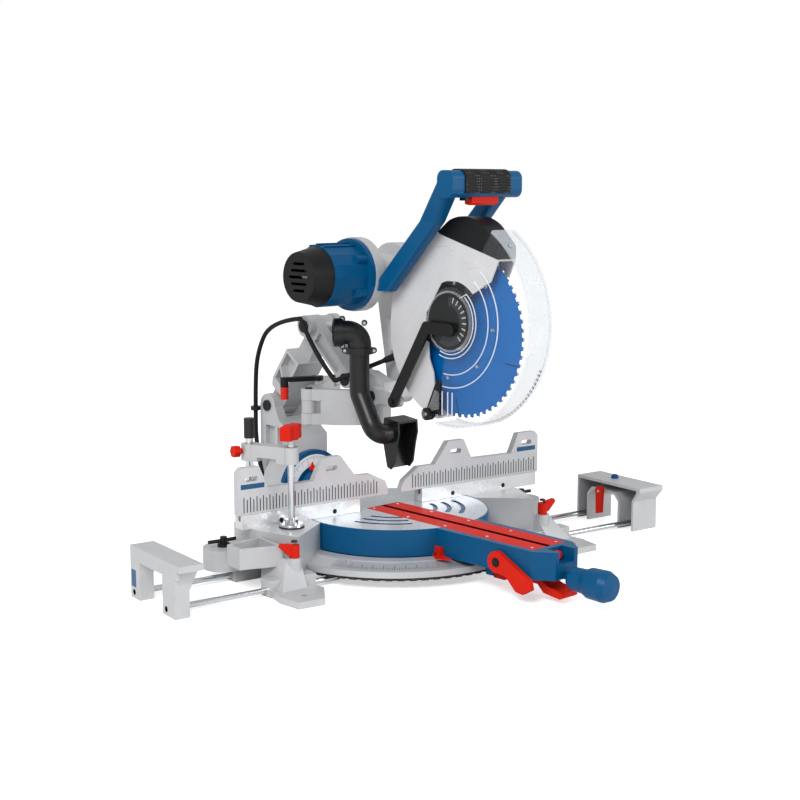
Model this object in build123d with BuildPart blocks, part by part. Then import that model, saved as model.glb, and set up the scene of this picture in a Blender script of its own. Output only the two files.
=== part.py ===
"""Sliding double-bevel mitre saw: base, turntable, tower, folding glide arm, carrier and saw head.

Frame: x to the right, y to the back, z up, origin on the mitre axis at bench level, millimetres.
The upper assembly stands swung by MITRE_REST; u, v below are x, y swung with it.
"""
import os
from math import cos, hypot, pi, radians, sin, sqrt, tan

from build123d import *

os.makedirs("parts", exist_ok=True)

# Working fits shared by mating pieces.
RUN_FIT = 0.3
SIDE_GAP = 0.5

# Mitre setting, table and base.
MITRE_REST = 7.2
TABLE_TOP = 91.0
DECK_TOP = TABLE_TOP - 0.4
DECK_R = 178.0
DECK_BOTTOM = 42.4
RING_R = 246.0
RING_TOP = 33.0
SCALE_IN = 208.0
SCALE_OUT = 237.0
LIP_TOP = 41.6
POST_X, POST_Y = 282.0, -101.0
POST_TOP = 60.0
BOLT_PCD = 300.0
BOLT_HOLE_R = 4.5

# Work supports and their rods.
ROD_R = 5.0
ROD_Z = 10.75
ROD_FRONT_Y = -101.0
ROD_BACK_Y = 20.0
ROD_INNER = 192.0
LEFT_OUTER = -526.0
RIGHT_OUTER = 562.0
SUPPORT_DEPTH = 65.0
SUPPORT_WALL = 5.0

# Fences and work clamp.
FENCE_Y = 9.0
FENCE_T = 14.0
LOWER_TOP = 117.0
CLAMP_X, CLAMP_Y = -279.0, 56.0
CLAMP_R = 7.0
SPINDLE_X, SPINDLE_Y = -238.0, -20.0
SPINDLE_R = 6.0

# Turntable arm.
ARM_HALF = 53.0
ARM_END = -428.0
INSERT_HALF = 41.0
INSERT_T = 5.0
SLOT_HALF = 5.5
INSERT_BACK = 34.0
INSERT_FRONT = -388.0
KNOB_Z = 45.0

# Bevel axis, tower and folding glide arm (v, z of the level pins; u, v of the upright pins).
BEVEL_Z = 91.0
TOWER_FRONT = 252.0
TOWER_BACK = 355.0
REAR_V, REAR_Z = 331.0, 254.0
KNEE_V, KNEE_Z = 204.0, 424.0
NOSE_V, NOSE_Z = 99.0, 329.0
ELBOW_U, ELBOW_V = -70.0, 167.0
TOWER_PIN_U = ELBOW_U + (KNEE_Z - REAR_Z)
TOWER_PIN_V = ELBOW_V + (REAR_V - KNEE_V)
CARRIER_PIN_U = ELBOW_U + (KNEE_Z - NOSE_Z)
CARRIER_PIN_V = ELBOW_V - (KNEE_V - NOSE_V)
PIN_R = 7.0
TANG_HALF = 14.5
CHEEK_IN = TANG_HALF + SIDE_GAP
PLATE_LOW, PLATE_HIGH = 240.0, 308.0
PLATE_T = 22.0

# Chop pivot, blade and guards.
CHOP_V, CHOP_Z = 30.0, 304.0
BLADE_V, BLADE_Z = -174.1, 436.5
BLADE_R = 152.5
BLADE_T = 2.4
BLADE_TEETH = 60
BORE_R = 12.7
GUARD_V, GUARD_Z = -174.0, 458.0
GUARD_R = 190.0
GUARD_WALL = 2.7
GUARD_HALF = 27.5
GUARD_FROM, GUARD_TO = 122.0, 281.0
SHELL_HALF = 22.0
SHELL_R = 160.0
LINK_V, LINK_Z = -39.4, 302.0
CRANK_V, CRANK_Z = -186.2, 444.2
MOTOR_V, MOTOR_Z = 44.0, 532.0
MOTOR_R = 54.0
GEAR_R = 68.0

# Power lead.
LEAD_R = 4.5


def side(u, swing=MITRE_REST):
    """Plane square to u at u: sketch x runs along v, sketch y along z, normal along +u."""
    c, s = cos(radians(swing)), sin(radians(swing))
    return Plane(origin=(u * c, u * s, 0), x_dir=(-s, c, 0), z_dir=(c, s, 0))


def deck(z, swing=MITRE_REST):
    """Level plane at height z with its x along u."""
    return Plane(origin=(0, 0, z), x_dir=(cos(radians(swing)), sin(radians(swing)), 0), z_dir=(0, 0, 1))


def face(v, swing=MITRE_REST):
    """Upright plane across the arm at v: sketch x runs along u, sketch y along z, normal forward."""
    c, s = cos(radians(swing)), sin(radians(swing))
    return Plane(origin=(-v * s, v * c, 0), x_dir=(c, s, 0), z_dir=(s, -c, 0))


def along(u, start, end):
    """Plane square to u whose x runs from one level pin to the next and whose origin is the first."""
    base = side(u)
    run = hypot(end[0] - start[0], end[1] - start[1])
    way = base.x_dir * ((end[0] - start[0]) / run) + Vector(0, 0, 1) * ((end[1] - start[1]) / run)
    return Plane(origin=base.from_local_coords((start[0], start[1], 0)), x_dir=way, z_dir=base.z_dir)


def plan_along(z, start, end):
    """Level plane whose x runs from one upright pin to the next and whose origin is the first."""
    base = deck(z)
    way = base.from_local_coords((end[0], end[1], 0)) - base.from_local_coords((start[0], start[1], 0))
    return Plane(origin=base.from_local_coords((start[0], start[1], 0)), x_dir=way, z_dir=(0, 0, 1))


def spot(u, v, z):
    """World point of an arm point."""
    return deck(0).from_local_coords((u, v, z))


def mirrored(points, sign):
    """Outline points with x turned to the chosen side."""
    return [(sign * x, y) for x, y in points]


def export(piece, name):
    """Label one piece and write it."""
    piece.part.label = name
    export_step(piece.part, f"parts/{name}.step")


# Base casting: ring under the turntable, side blocks, feet, rod sleeves, lobes and carry cup.
with BuildPart() as base_casting:
    with BuildSketch(Plane.XZ):
        with BuildLine():
            Polyline((20, 22), (20, 30), (174, 30), (181, LIP_TOP), (206, LIP_TOP), (206, 38.6),
                     (SCALE_OUT + 1, 30.4), (SCALE_OUT + 1, RING_TOP), (RING_R, RING_TOP), (RING_R, 22),
                     (20, 22))
        make_face()
    revolve(axis=Axis.Z)
    for sign in (-1, 1):
        with BuildSketch(Plane.XY.offset(22)):
            Polygon(*mirrored([(168, -12), (268, -92), (302, -4), (302, 76), (206, 76), (160, 43)],
                              sign), align=None)
        extrude(amount=TABLE_TOP - 22)
        with BuildSketch(Plane.XY.offset(22)):
            Polygon(*mirrored([(296, -6), (345, 0), (345, 74), (296, 74)], sign), align=None)
            with Locations((sign * 345, 37)):
                Circle(37)
        extrude(amount=38)
        with BuildSketch(Plane.XY):
            Polygon(*mirrored([(250, -146), (284, -202), (334, -200), (342, -152), (330, -84), (262, -84)],
                              sign), align=None)
        extrude(amount=12)
        with BuildSketch(Plane.XY.offset(12)):
            Polygon(*mirrored([(266, -86), (274, -130), (326, -134), (326, -60), (270, -60)], sign),
                    align=None)
        with BuildSketch(Plane.XY.offset(58)):
            Polygon(*mirrored([(266, -86), (270, -98), (298, -98), (304, -30), (270, -40)], sign), align=None)
        loft()
        with BuildSketch(Plane.XY):
            with Locations((sign * POST_X, POST_Y)):
                Circle(13)
        extrude(amount=POST_TOP)
        with BuildSketch(side(sign * 294, 0)):
            with Locations((ROD_BACK_Y, 15)):
                Rectangle(30, 30)
            with Locations((ROD_FRONT_Y, 15)):
                Rectangle(30, 30)
        extrude(amount=46, both=True)
        with BuildSketch(Plane.XY):
            with Locations((sign * 165, 160)):
                Circle(26)
        extrude(amount=24)
    with BuildSketch(Plane.XY.offset(44)):
        Polygon((-298, -88), (-372, -70), (-372, -26), (-298, -10), align=None)
    extrude(amount=36)
    with BuildSketch(Plane.XY.offset(50)):
        Polygon((-304, -80), (-366, -65), (-366, -31), (-304, -17), align=None)
    extrude(amount=40, mode=Mode.SUBTRACT)
    with BuildSketch(Plane.XY.offset(LIP_TOP)):
        Circle(DECK_R + 2.2)
    extrude(amount=80, mode=Mode.SUBTRACT)
    with BuildSketch(Plane.XY.offset(8)):
        Circle(34)
        Circle(20, mode=Mode.SUBTRACT)
    extrude(amount=14)
    for sign in (-1, 1):
        with BuildSketch(side(sign * 294, 0)):
            with Locations((ROD_FRONT_Y, ROD_Z), (ROD_BACK_Y, ROD_Z)):
                Circle(ROD_R + RUN_FIT)
        extrude(amount=120, both=True, mode=Mode.SUBTRACT)
        with BuildSketch(Plane.XY):
            with Locations((sign * 304, -168), (sign * 165, 160)):
                Circle(5)
        extrude(amount=60, mode=Mode.SUBTRACT)
    with BuildSketch(Plane.XY):
        with PolarLocations(BOLT_PCD / 2, 4, start_angle=45):
            Circle(13)
    extrude(amount=24)
    with BuildSketch(Plane.XY):
        with PolarLocations(BOLT_PCD / 2, 4, start_angle=45):
            Circle(BOLT_HOLE_R)
    extrude(amount=60, mode=Mode.SUBTRACT)
    with BuildSketch(Plane.XY.offset(58)):
        with Locations((CLAMP_X, CLAMP_Y)):
            Circle(CLAMP_R)
    extrude(amount=60, mode=Mode.SUBTRACT)
export(base_casting, "base_casting")

# Detent ring: notched black ring screwed under the front of the base ring.
with BuildPart() as detent_ring:
    with BuildSketch(Plane.XY.offset(16.4)):
        Circle(RING_R - 2)
        Circle(RING_R - 20, mode=Mode.SUBTRACT)
        with PolarLocations(RING_R - 2, 72):
            Rectangle(7, 9, mode=Mode.SUBTRACT)
        with Locations((0, 150)):
            Rectangle(600, 360, mode=Mode.SUBTRACT)
    extrude(amount=5.6)
export(detent_ring, "detent_ring")

# Mitre scale: thin plate on the sloping band of the ring.
SCALE_HALF_ARC = 64.0
with BuildPart() as mitre_scale:
    with BuildSketch(Plane.XZ.rotated((0, 0, -90 - SCALE_HALF_ARC))):
        with BuildLine():
            Polyline((SCALE_IN, 38.3), (SCALE_OUT, 30.9), (SCALE_OUT, 31.9), (SCALE_IN, 39.3),
                     (SCALE_IN, 38.3))
        make_face()
    revolve(axis=Axis.Z, revolution_arc=2 * SCALE_HALF_ARC)
export(mitre_scale, "mitre_scale")

# Lower fences: fixed bright rails on the side blocks, grooved on top for the sliding fences.
GROOVE_IN, GROOVE_OUT = FENCE_Y + 6, FENCE_Y + 14
with BuildPart() as lower_fence:
    for x0, x1 in ((-322, -72), (72, 358)):
        with BuildSketch(Plane.XY.offset(TABLE_TOP)):
            with Locations(((x0 + x1) / 2, FENCE_Y + 13)):
                Rectangle(x1 - x0, 26)
        extrude(amount=LOWER_TOP - TABLE_TOP)
        with BuildSketch(Plane.XY.offset(LOWER_TOP - 12)):
            with Locations(((x0 + x1) / 2, (GROOVE_IN + GROOVE_OUT) / 2)):
                Rectangle(x1 - x0, GROOVE_OUT - GROOVE_IN)
        extrude(amount=12, mode=Mode.SUBTRACT)
export(lower_fence, "lower_fence")

# Sliding fences: tall horned plates, each with a tongue running in its lower fence.
LEFT_OUTLINE = [(-330, LOWER_TOP + RUN_FIT), (-330, 194), (-322, 202), (-286, 202), (-269, 162), (-173, 162),
                (-153, 202), (-114, 202), (-82, 161), (-47, 160), (-15, 144), (-9, 131),
                (-9, LOWER_TOP + RUN_FIT)]
RIGHT_OUTLINE = [(23, LOWER_TOP + RUN_FIT), (23, 125), (29, 138), (62, 161), (102, 161), (134, 203),
                 (173, 203),
                 (193, 163), (293, 162), (311, 201), (355, 201), (363, 193), (363, LOWER_TOP + RUN_FIT)]
with BuildPart() as left_sliding_fence:
    with BuildSketch(Plane.XZ.offset(-FENCE_Y - FENCE_T)):
        Polygon(*LEFT_OUTLINE, align=None)
        with Locations((-302, 181), (-134, 181)):
            SlotOverall(26, 9, mode=Mode.SUBTRACT)
    extrude(amount=FENCE_T)
    with BuildSketch(Plane.XY.offset(LOWER_TOP - 11)):
        with Locations((-205, (GROOVE_IN + GROOVE_OUT) / 2)):
            Rectangle(220, GROOVE_OUT - GROOVE_IN - 2 * RUN_FIT)
    extrude(amount=11 + RUN_FIT)
export(left_sliding_fence, "left_sliding_fence")

with BuildPart() as right_sliding_fence:
    with BuildSketch(Plane.XZ.offset(-FENCE_Y - FENCE_T)):
        Polygon(*RIGHT_OUTLINE, align=None)
        with Locations((153, 182), (333, 181)):
            SlotOverall(26, 9, mode=Mode.SUBTRACT)
    extrude(amount=FENCE_T)
    with BuildSketch(Plane.XY.offset(LOWER_TOP - 11)):
        with Locations((215, (GROOVE_IN + GROOVE_OUT) / 2)):
            Rectangle(230, GROOVE_OUT - GROOVE_IN - 2 * RUN_FIT)
    extrude(amount=11 + RUN_FIT)
export(right_sliding_fence, "right_sliding_fence")

# Work supports: hollow arched legs with a stepped top plate, carried on two rods.
ARCH = [(-133, 0), (-133, 62), (-150, 82), (-150, TABLE_TOP), (33, TABLE_TOP), (33, 0), (-2, 0), (-2, 54),
        (-13, 66), (-77, 66), (-88, 54), (-88, 0)]
LEGS = [(-128, 0), (-128, 62), (-140, 80), (-140, TABLE_TOP - 6), (28, TABLE_TOP - 6), (28, 0), (3, 0),
        (3, 57),
        (-10, 72), (-80, 72), (-93, 57), (-93, 0)]


def support(outer, inward):
    """One support standing between its outer face and the open inner side."""
    with BuildPart() as piece:
        with BuildSketch(side(outer, 0)):
            Polygon(*ARCH, align=None)
        extrude(amount=inward * SUPPORT_DEPTH)
        with BuildSketch(side(outer + inward * SUPPORT_WALL, 0)):
            Polygon(*LEGS, align=None)
        extrude(amount=inward * SUPPORT_DEPTH, mode=Mode.SUBTRACT)
        with BuildSketch(side(outer + inward * SUPPORT_WALL, 0)):
            with Locations((ROD_FRONT_Y - 9, ROD_Z), (ROD_BACK_Y - 4, ROD_Z)):
                Rectangle(30, 20)
        extrude(amount=inward * 24)
        with BuildSketch(side(outer, 0)):
            with Locations((ROD_FRONT_Y, ROD_Z), (ROD_BACK_Y, ROD_Z)):
                Circle(ROD_R)
        extrude(amount=inward * SUPPORT_DEPTH, mode=Mode.SUBTRACT)
    return piece


def rods(outer, inner):
    """The two rods of one support."""
    with BuildPart() as piece:
        with BuildSketch(side(outer, 0)):
            with Locations((ROD_FRONT_Y, ROD_Z), (ROD_BACK_Y, ROD_Z)):
                Circle(ROD_R)
        extrude(amount=inner - outer)
    return piece


left_support = support(LEFT_OUTER, 1)
export(left_support, "left_support")
right_support = support(RIGHT_OUTER, -1)
STOP_Y, STOP_Z = -40.0, 69.0
STUD_R = 2.8
STOP_IN = RIGHT_OUTER - SUPPORT_DEPTH
with BuildPart() as right_support_body:
    add(right_support.part)
    with BuildSketch(side(STOP_IN + 10, 0)):
        with Locations((STOP_Y, STOP_Z)):
            Circle(STUD_R)
    extrude(amount=-20)
export(right_support_body, "right_support")
left_rails = rods(LEFT_OUTER, -ROD_INNER)
export(left_rails, "left_rails")
right_rails = rods(RIGHT_OUTER, ROD_INNER)
export(right_rails, "right_rails")

# Flip stop: red lever hanging on a stud at the inner edge of the right support.
with BuildPart() as length_stop:
    with BuildSketch(side(STOP_IN - 9, 0)):
        with Locations((STOP_Y, STOP_Z)):
            Circle(10)
        Polygon((STOP_Y - 9, STOP_Z), (STOP_Y - 7, 24), (STOP_Y + 7, 20), (STOP_Y + 9, STOP_Z), align=None)
        with Locations((STOP_Y, STOP_Z)):
            Circle(STUD_R + RUN_FIT, mode=Mode.SUBTRACT)
    extrude(amount=8)
export(length_stop, "length_stop")


def wing(sign):
    """One red wing lever on its post."""
    with BuildPart() as piece:
        with BuildSketch(Plane.XY.offset(POST_TOP + RUN_FIT)):
            with Locations((sign * POST_X, POST_Y)):
                Circle(9)
        extrude(amount=22)
        with BuildSketch(Plane.XZ.offset(-POST_Y - 4)):
            Polygon(*mirrored([(POST_X + 4, 62), (POST_X + 14, 66), (POST_X + 30, 82), (POST_X + 27, 88),
                               (POST_X + 4, 84)], sign), align=None)
        extrude(amount=8)
    return piece


left_wing_lever = wing(-1)
export(left_wing_lever, "left_wing_lever")
right_wing_lever = wing(1)
export(right_wing_lever, "right_wing_lever")

# Work clamp: post, swinging arm, lock knob, screw spindle with pad and red knob.
ARM_LOW, ARM_HIGH = 206.0, 236.0
with BuildPart() as clamp_post:
    with BuildSketch(Plane.XY.offset(58)):
        with Locations((CLAMP_X, CLAMP_Y)):
            Circle(CLAMP_R)
    extrude(amount=222)
    with BuildSketch(Plane.XY.offset(246)):
        with Locations((CLAMP_X, CLAMP_Y)):
            Circle(9.5)
    extrude(amount=36)
export(clamp_post, "clamp_post")
REACH = Plane(origin=(CLAMP_X, CLAMP_Y, ARM_LOW), z_dir=(0, 0, 1),
              x_dir=(SPINDLE_X - CLAMP_X, SPINDLE_Y - CLAMP_Y, 0))
REACH_LENGTH = hypot(SPINDLE_X - CLAMP_X, SPINDLE_Y - CLAMP_Y)
with BuildPart() as clamp_arm:
    with BuildSketch(REACH):
        Circle(15)
        with Locations((REACH_LENGTH, 0)):
            Circle(14)
        Polygon((0, -13), (0, 13), (REACH_LENGTH, 12), (REACH_LENGTH, -12), align=None)
        Circle(CLAMP_R + RUN_FIT, mode=Mode.SUBTRACT)
        with Locations((REACH_LENGTH, 0)):
            Circle(SPINDLE_R + RUN_FIT, mode=Mode.SUBTRACT)
    extrude(amount=ARM_HIGH - ARM_LOW)
    with BuildSketch(REACH.offset(-1)):
        with Locations((REACH_LENGTH / 2, 0)):
            Rectangle(40, 60)
    extrude(amount=9, mode=Mode.SUBTRACT)
export(clamp_arm, "clamp_arm")
with BuildPart() as clamp_lock_knob:
    with BuildSketch(side(CLAMP_X - 16, 0)):
        with Locations((CLAMP_Y, 224)):
            Circle(5)
    extrude(amount=-8)
    with BuildSketch(side(CLAMP_X - 22, 0)):
        with Locations((CLAMP_Y, 224)):
            RegularPolygon(11, 6)
    extrude(amount=-12)
export(clamp_lock_knob, "clamp_lock_knob")
with BuildPart() as clamp_spindle:
    with BuildSketch(Plane.XY.offset(94)):
        with Locations((SPINDLE_X, SPINDLE_Y)):
            Circle(SPINDLE_R)
    extrude(amount=156)
    with BuildSketch(Plane.XY.offset(TABLE_TOP + RUN_FIT)):
        with Locations((SPINDLE_X, SPINDLE_Y)):
            Circle(23)
    extrude(amount=7, taper=20)
    with BuildSketch(Plane.XY.offset(98)):
        with Locations((SPINDLE_X, SPINDLE_Y)):
            Circle(12)
    extrude(amount=8)
export(clamp_spindle, "clamp_spindle")
with BuildPart() as clamp_knob:
    with BuildSketch(Plane.XY.offset(250)):
        with Locations((SPINDLE_X, SPINDLE_Y)):
            Circle(14)
            Rectangle(50, 20, rotation=35)
    extrude(amount=26)
    fillet(clamp_knob.edges().group_by(Axis.Z)[-1], 4)
export(clamp_knob, "clamp_knob")

# Turntable: round machined deck, long front arm with kerf channel and open cradle, rear neck.
SPIGOT_R = 18.0
with BuildPart() as turntable:
    with BuildSketch(deck(DECK_BOTTOM)):
        Circle(DECK_R)
        Polygon((-ARM_HALF - 1, -120), (-ARM_HALF + 1, -396), (-28, ARM_END), (28, ARM_END),
                (ARM_HALF - 1, -396), (ARM_HALF + 1, -120), align=None)
    extrude(amount=DECK_TOP - DECK_BOTTOM)
    with BuildSketch(deck(DECK_BOTTOM)):
        with Locations((0, 185)):
            Rectangle(118, 100)
    extrude(amount=30)
    with BuildSketch(face(196)):
        with Locations((0, BEVEL_Z)):
            Circle(40)
    extrude(amount=-40)
    with BuildSketch(face(230)):
        with Locations((0, BEVEL_Z)):
            Circle(SPIGOT_R)
    extrude(amount=-50)
    with BuildSketch(deck(18)):
        Circle(SPIGOT_R)
    extrude(amount=30)
    with BuildSketch(deck(DECK_TOP - INSERT_T)):
        with Locations((0, (INSERT_FRONT + INSERT_BACK) / 2)):
            Rectangle(2 * INSERT_HALF + 0.4, INSERT_BACK - INSERT_FRONT + 0.4)
    extrude(amount=INSERT_T, mode=Mode.SUBTRACT)
    with BuildSketch(deck(60)):
        with Locations((0, -175)):
            Rectangle(44, 404)
    extrude(amount=40, mode=Mode.SUBTRACT)
    with BuildSketch(deck(DECK_BOTTOM)):
        with Locations((0, -290)):
            Rectangle(76, 230)
        Circle(160)
        Circle(40, mode=Mode.SUBTRACT)
        with Locations((0, 100)):
            Rectangle(116, 160, mode=Mode.SUBTRACT)
    extrude(amount=12, mode=Mode.SUBTRACT)
    with BuildSketch(deck(68)):
        with Locations((0, ARM_END + 13)):
            Rectangle(38, 30)
    extrude(amount=30, mode=Mode.SUBTRACT)
    with BuildSketch(face(-400)):
        with Locations((0, 78)):
            RectangleRounded(18.8, 13.8, 3.2)
    extrude(amount=-6, mode=Mode.SUBTRACT)
    with BuildSketch(face(ARM_END - 1)):
        with Locations((0, KNOB_Z)):
            Circle(6)
    extrude(amount=-60, mode=Mode.SUBTRACT)
    for sign in (-1, 1):
        with BuildSketch(side(sign * 31)):
            Polygon((-298, 56), (-292, 26), (-278, 26), (-272, 56), align=None)
        extrude(amount=7, both=True)
    for sign in (-1, 1):
        for reach in (78, 104, 130):
            with BuildSketch(deck(DECK_TOP - 2)):
                with BuildLine():
                    CenterArc((0, 0), reach, 90 - sign * 128 - 24, 48)
                trace(line_width=9)
            extrude(amount=4, mode=Mode.SUBTRACT)
    with BuildSketch(side(-38)):
        with Locations((-285, 33)):
            Circle(3)
    extrude(amount=76)
export(turntable, "turntable")

# Kerf inserts: two red strips whose slot edges are cut back underneath for the tilted blade.
with BuildPart() as kerf_inserts:
    for sign in (-1, 1):
        with BuildSketch(face(INSERT_BACK)):
            Polygon(*mirrored([(INSERT_HALF, DECK_TOP - INSERT_T), (SLOT_HALF + 7, DECK_TOP - INSERT_T),
                               (SLOT_HALF, DECK_TOP - 0.6), (SLOT_HALF, DECK_TOP),
                               (INSERT_HALF, DECK_TOP)], sign),
                    align=None)
        extrude(amount=INSERT_BACK - INSERT_FRONT)
export(kerf_inserts, "kerf_inserts")

# Pointers: red mitre pointer at the root of the arm and red bevel pointer on the rear neck.
ROOT_V = -sqrt((DECK_R + 1.6) ** 2 - 55**2)
with BuildPart() as pointers:
    with BuildSketch(deck(43.5)):
        Polygon((-55, ROOT_V), (-62, ROOT_V + 3), (-80, ROOT_V - 25), (-66, ROOT_V - 51), (-60, ROOT_V - 29),
                (-55, ROOT_V - 19), align=None)
    extrude(amount=2.5)
    with BuildSketch(deck(43.5)):
        Polygon((-55, ROOT_V), (-58, ROOT_V + 1.5), (-66, ROOT_V - 19), (-55, ROOT_V - 19), align=None)
    extrude(amount=16)
    with BuildSketch(face(232)):
        Polygon((-16, BEVEL_Z + 40.3), (-2, BEVEL_Z + 40.3), (-9, BEVEL_Z + 56), align=None)
    extrude(amount=-3)
    with BuildSketch(face(215)):
        Polygon((-16, BEVEL_Z + 40.3), (-2, BEVEL_Z + 40.3), (-2, BEVEL_Z + 43), (-16, BEVEL_Z + 43),
                align=None)
    extrude(amount=-20)
export(pointers, "pointers")

# Mitre lock: waisted blue knob on its long steel rod.
with BuildPart() as mitre_lock_knob:
    with BuildSketch(deck(KNOB_Z)):
        Polygon((0, -440), (17, -440), (20, -446), (21, -470), (26, -482), (27, -512), (22, -524),
                (0, -526), align=None)
    revolve(axis=Axis(spot(0, 0, KNOB_Z), spot(0, 1, KNOB_Z) - spot(0, 0, KNOB_Z)))
    with BuildSketch(face(-438)):
        with Locations((0, KNOB_Z)):
            Circle(5)
    extrude(amount=-180)
    with BuildSketch(face(-438)):
        with Locations((0, KNOB_Z)):
            Circle(5)
    extrude(amount=4)
export(mitre_lock_knob, "mitre_lock_knob")

# Detent lever under the arm, bevel lock lever on its left side, button in the cradle.
with BuildPart() as detent_lever:
    with BuildSketch(side(-19)):
        Polygon((-264, 38), (-384, 38), (-400, 27), (-433, 20), (-437, 13), (-430, 9), (-394, 13), (-380, 26),
                (-312, 26), (-304, 16.5), (-280, 16.5), (-268, 26), align=None)
        with Locations((-285, 33)):
            Circle(3 + RUN_FIT, mode=Mode.SUBTRACT)
    extrude(amount=38)
    with BuildSketch(deck(-1)):
        with Locations((0, -345)):
            Rectangle(20, 90)
    extrude(amount=60, mode=Mode.SUBTRACT)
export(detent_lever, "detent_lever")
LEVER_V, LEVER_Z = -326.0, 61.0
with BuildPart() as bevel_lock_lever:
    with BuildSketch(side(-ARM_HALF - 12)):
        with Locations((LEVER_V, LEVER_Z)):
            Circle(19)
        Polygon((LEVER_V - 6, 79), (-358, 66), (-402, 44), (-406, 28), (-388, 17), (-372, 19), (-350, 40),
                (LEVER_V + 4, 44), align=None)
    extrude(amount=9.5)
    with BuildSketch(side(-ARM_HALF - 4)):
        with Locations((LEVER_V, LEVER_Z)):
            Circle(9)
    extrude(amount=3)
export(bevel_lock_lever, "bevel_lock_lever")
with BuildPart() as front_button:
    with BuildSketch(face(-400)):
        with Locations((0, 78)):
            RectangleRounded(18, 13, 3)
    extrude(amount=9)
export(front_button, "front_button")

# Tower: tilts on the turntable spigot; its top forks the rear link, its right lugs hold the rear plate.
LUG_LOW = (PLATE_LOW, 256.0)
LUG_HIGH = (288.0, 304.0)
with BuildPart() as tower:
    with BuildSketch(face(TOWER_FRONT)):
        with Locations((0, BEVEL_Z)):
            Circle(68)
    extrude(amount=-70)
    with BuildSketch(side(-45)):
        Polygon((TOWER_FRONT, 80), (TOWER_FRONT, 198), (292, 226), (312, 262), (331, 278),
                (TOWER_BACK - 3, 262),
                (TOWER_BACK, 240), (TOWER_BACK, 110), (TOWER_BACK - 15, 56), (300, 50), align=None)
        with Locations((REAR_V, REAR_Z)):
            Circle(24)
    extrude(amount=90)
    with BuildSketch(side(45)):
        Polygon((302, 190), (346, 190), (346, LUG_HIGH[1]), (302, LUG_HIGH[1]), align=None)
    extrude(amount=12)
    for low, high in (LUG_LOW, LUG_HIGH):
        with BuildSketch(deck(low)):
            with Locations((TOWER_PIN_U, TOWER_PIN_V)):
                Circle(14)
            Polygon((50, 304), (TOWER_PIN_U - 8, TOWER_PIN_V - 11.5),
                    (TOWER_PIN_U + 8, TOWER_PIN_V + 11.5), (50, 344),
                    align=None)
        extrude(amount=high - low)
    with BuildSketch(side(-24.6)):
        Polygon((276, 320), (276, 252), (304, 224), (370, 224), (370, 320), align=None)
    extrude(amount=39.2, mode=Mode.SUBTRACT)
    with BuildSketch(side(-46)):
        Polygon((268, 120), (268, 192), (298, 214), (338, 214), (338, 120), align=None)
    extrude(amount=11, mode=Mode.SUBTRACT)
    with BuildSketch(side(-46)):
        Polygon((298, 116), (306, 116), (306, 216), (298, 216), align=None)
        Polygon((264, 158), (342, 158), (342, 166), (264, 166), align=None)
    extrude(amount=14)
    with BuildSketch(face(TOWER_FRONT - 1)):
        with Locations((0, BEVEL_Z)):
            Circle(SPIGOT_R + RUN_FIT)
    extrude(amount=-60, mode=Mode.SUBTRACT)
    with BuildSketch(side(-60)):
        with Locations((REAR_V, REAR_Z)):
            Circle(PIN_R)
    extrude(amount=120, mode=Mode.SUBTRACT)
    with BuildSketch(deck(200)):
        with Locations((TOWER_PIN_U, TOWER_PIN_V)):
            Circle(PIN_R)
    extrude(amount=140, mode=Mode.SUBTRACT)
export(tower, "tower")

# Bevel scale plate: blue fan on the front of the tower.
FAN_R = 78.0
with BuildPart() as bevel_scale_plate:
    with BuildSketch(face(TOWER_FRONT - 12)):
        with Locations((0, BEVEL_Z)):
            Circle(FAN_R)
        Polygon((-100, BEVEL_Z - 100), (-100, BEVEL_Z + 27), (0, BEVEL_Z), (100, BEVEL_Z + 27),
                (100, BEVEL_Z - 100),
                align=None, mode=Mode.SUBTRACT)
        with Locations((0, BEVEL_Z)):
            Circle(30)
            Circle(SPIGOT_R + RUN_FIT, mode=Mode.SUBTRACT)
    extrude(amount=-12)
export(bevel_scale_plate, "bevel_scale_plate")

# Pins of the tower with dark ends, and the clip that holds the lead behind its shoulder.
CLIP_U, CLIP_V, CLIP_Z = -52.0, TOWER_BACK + 7, 246.0
with BuildPart() as tower_pins:
    with BuildSketch(side(-49)):
        with Locations((REAR_V, REAR_Z)):
            Circle(PIN_R)
    extrude(amount=98)
    with BuildSketch(side(-49)):
        with Locations((REAR_V, REAR_Z)):
            Circle(11)
    extrude(amount=4)
    with BuildSketch(deck(LUG_LOW[0] - 3)):
        with Locations((TOWER_PIN_U, TOWER_PIN_V)):
            Circle(PIN_R)
    extrude(amount=LUG_HIGH[1] - LUG_LOW[0] + 6)
    with BuildSketch(deck(CLIP_Z - 4)):
        with Locations((CLIP_U, CLIP_V)):
            Circle(10)
            Circle(LEAD_R + RUN_FIT, mode=Mode.SUBTRACT)
        with Locations((CLIP_U + 14, CLIP_V - 2.9)):
            Rectangle(16, 8)
    extrude(amount=8)
export(tower_pins, "tower_pins")

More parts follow.
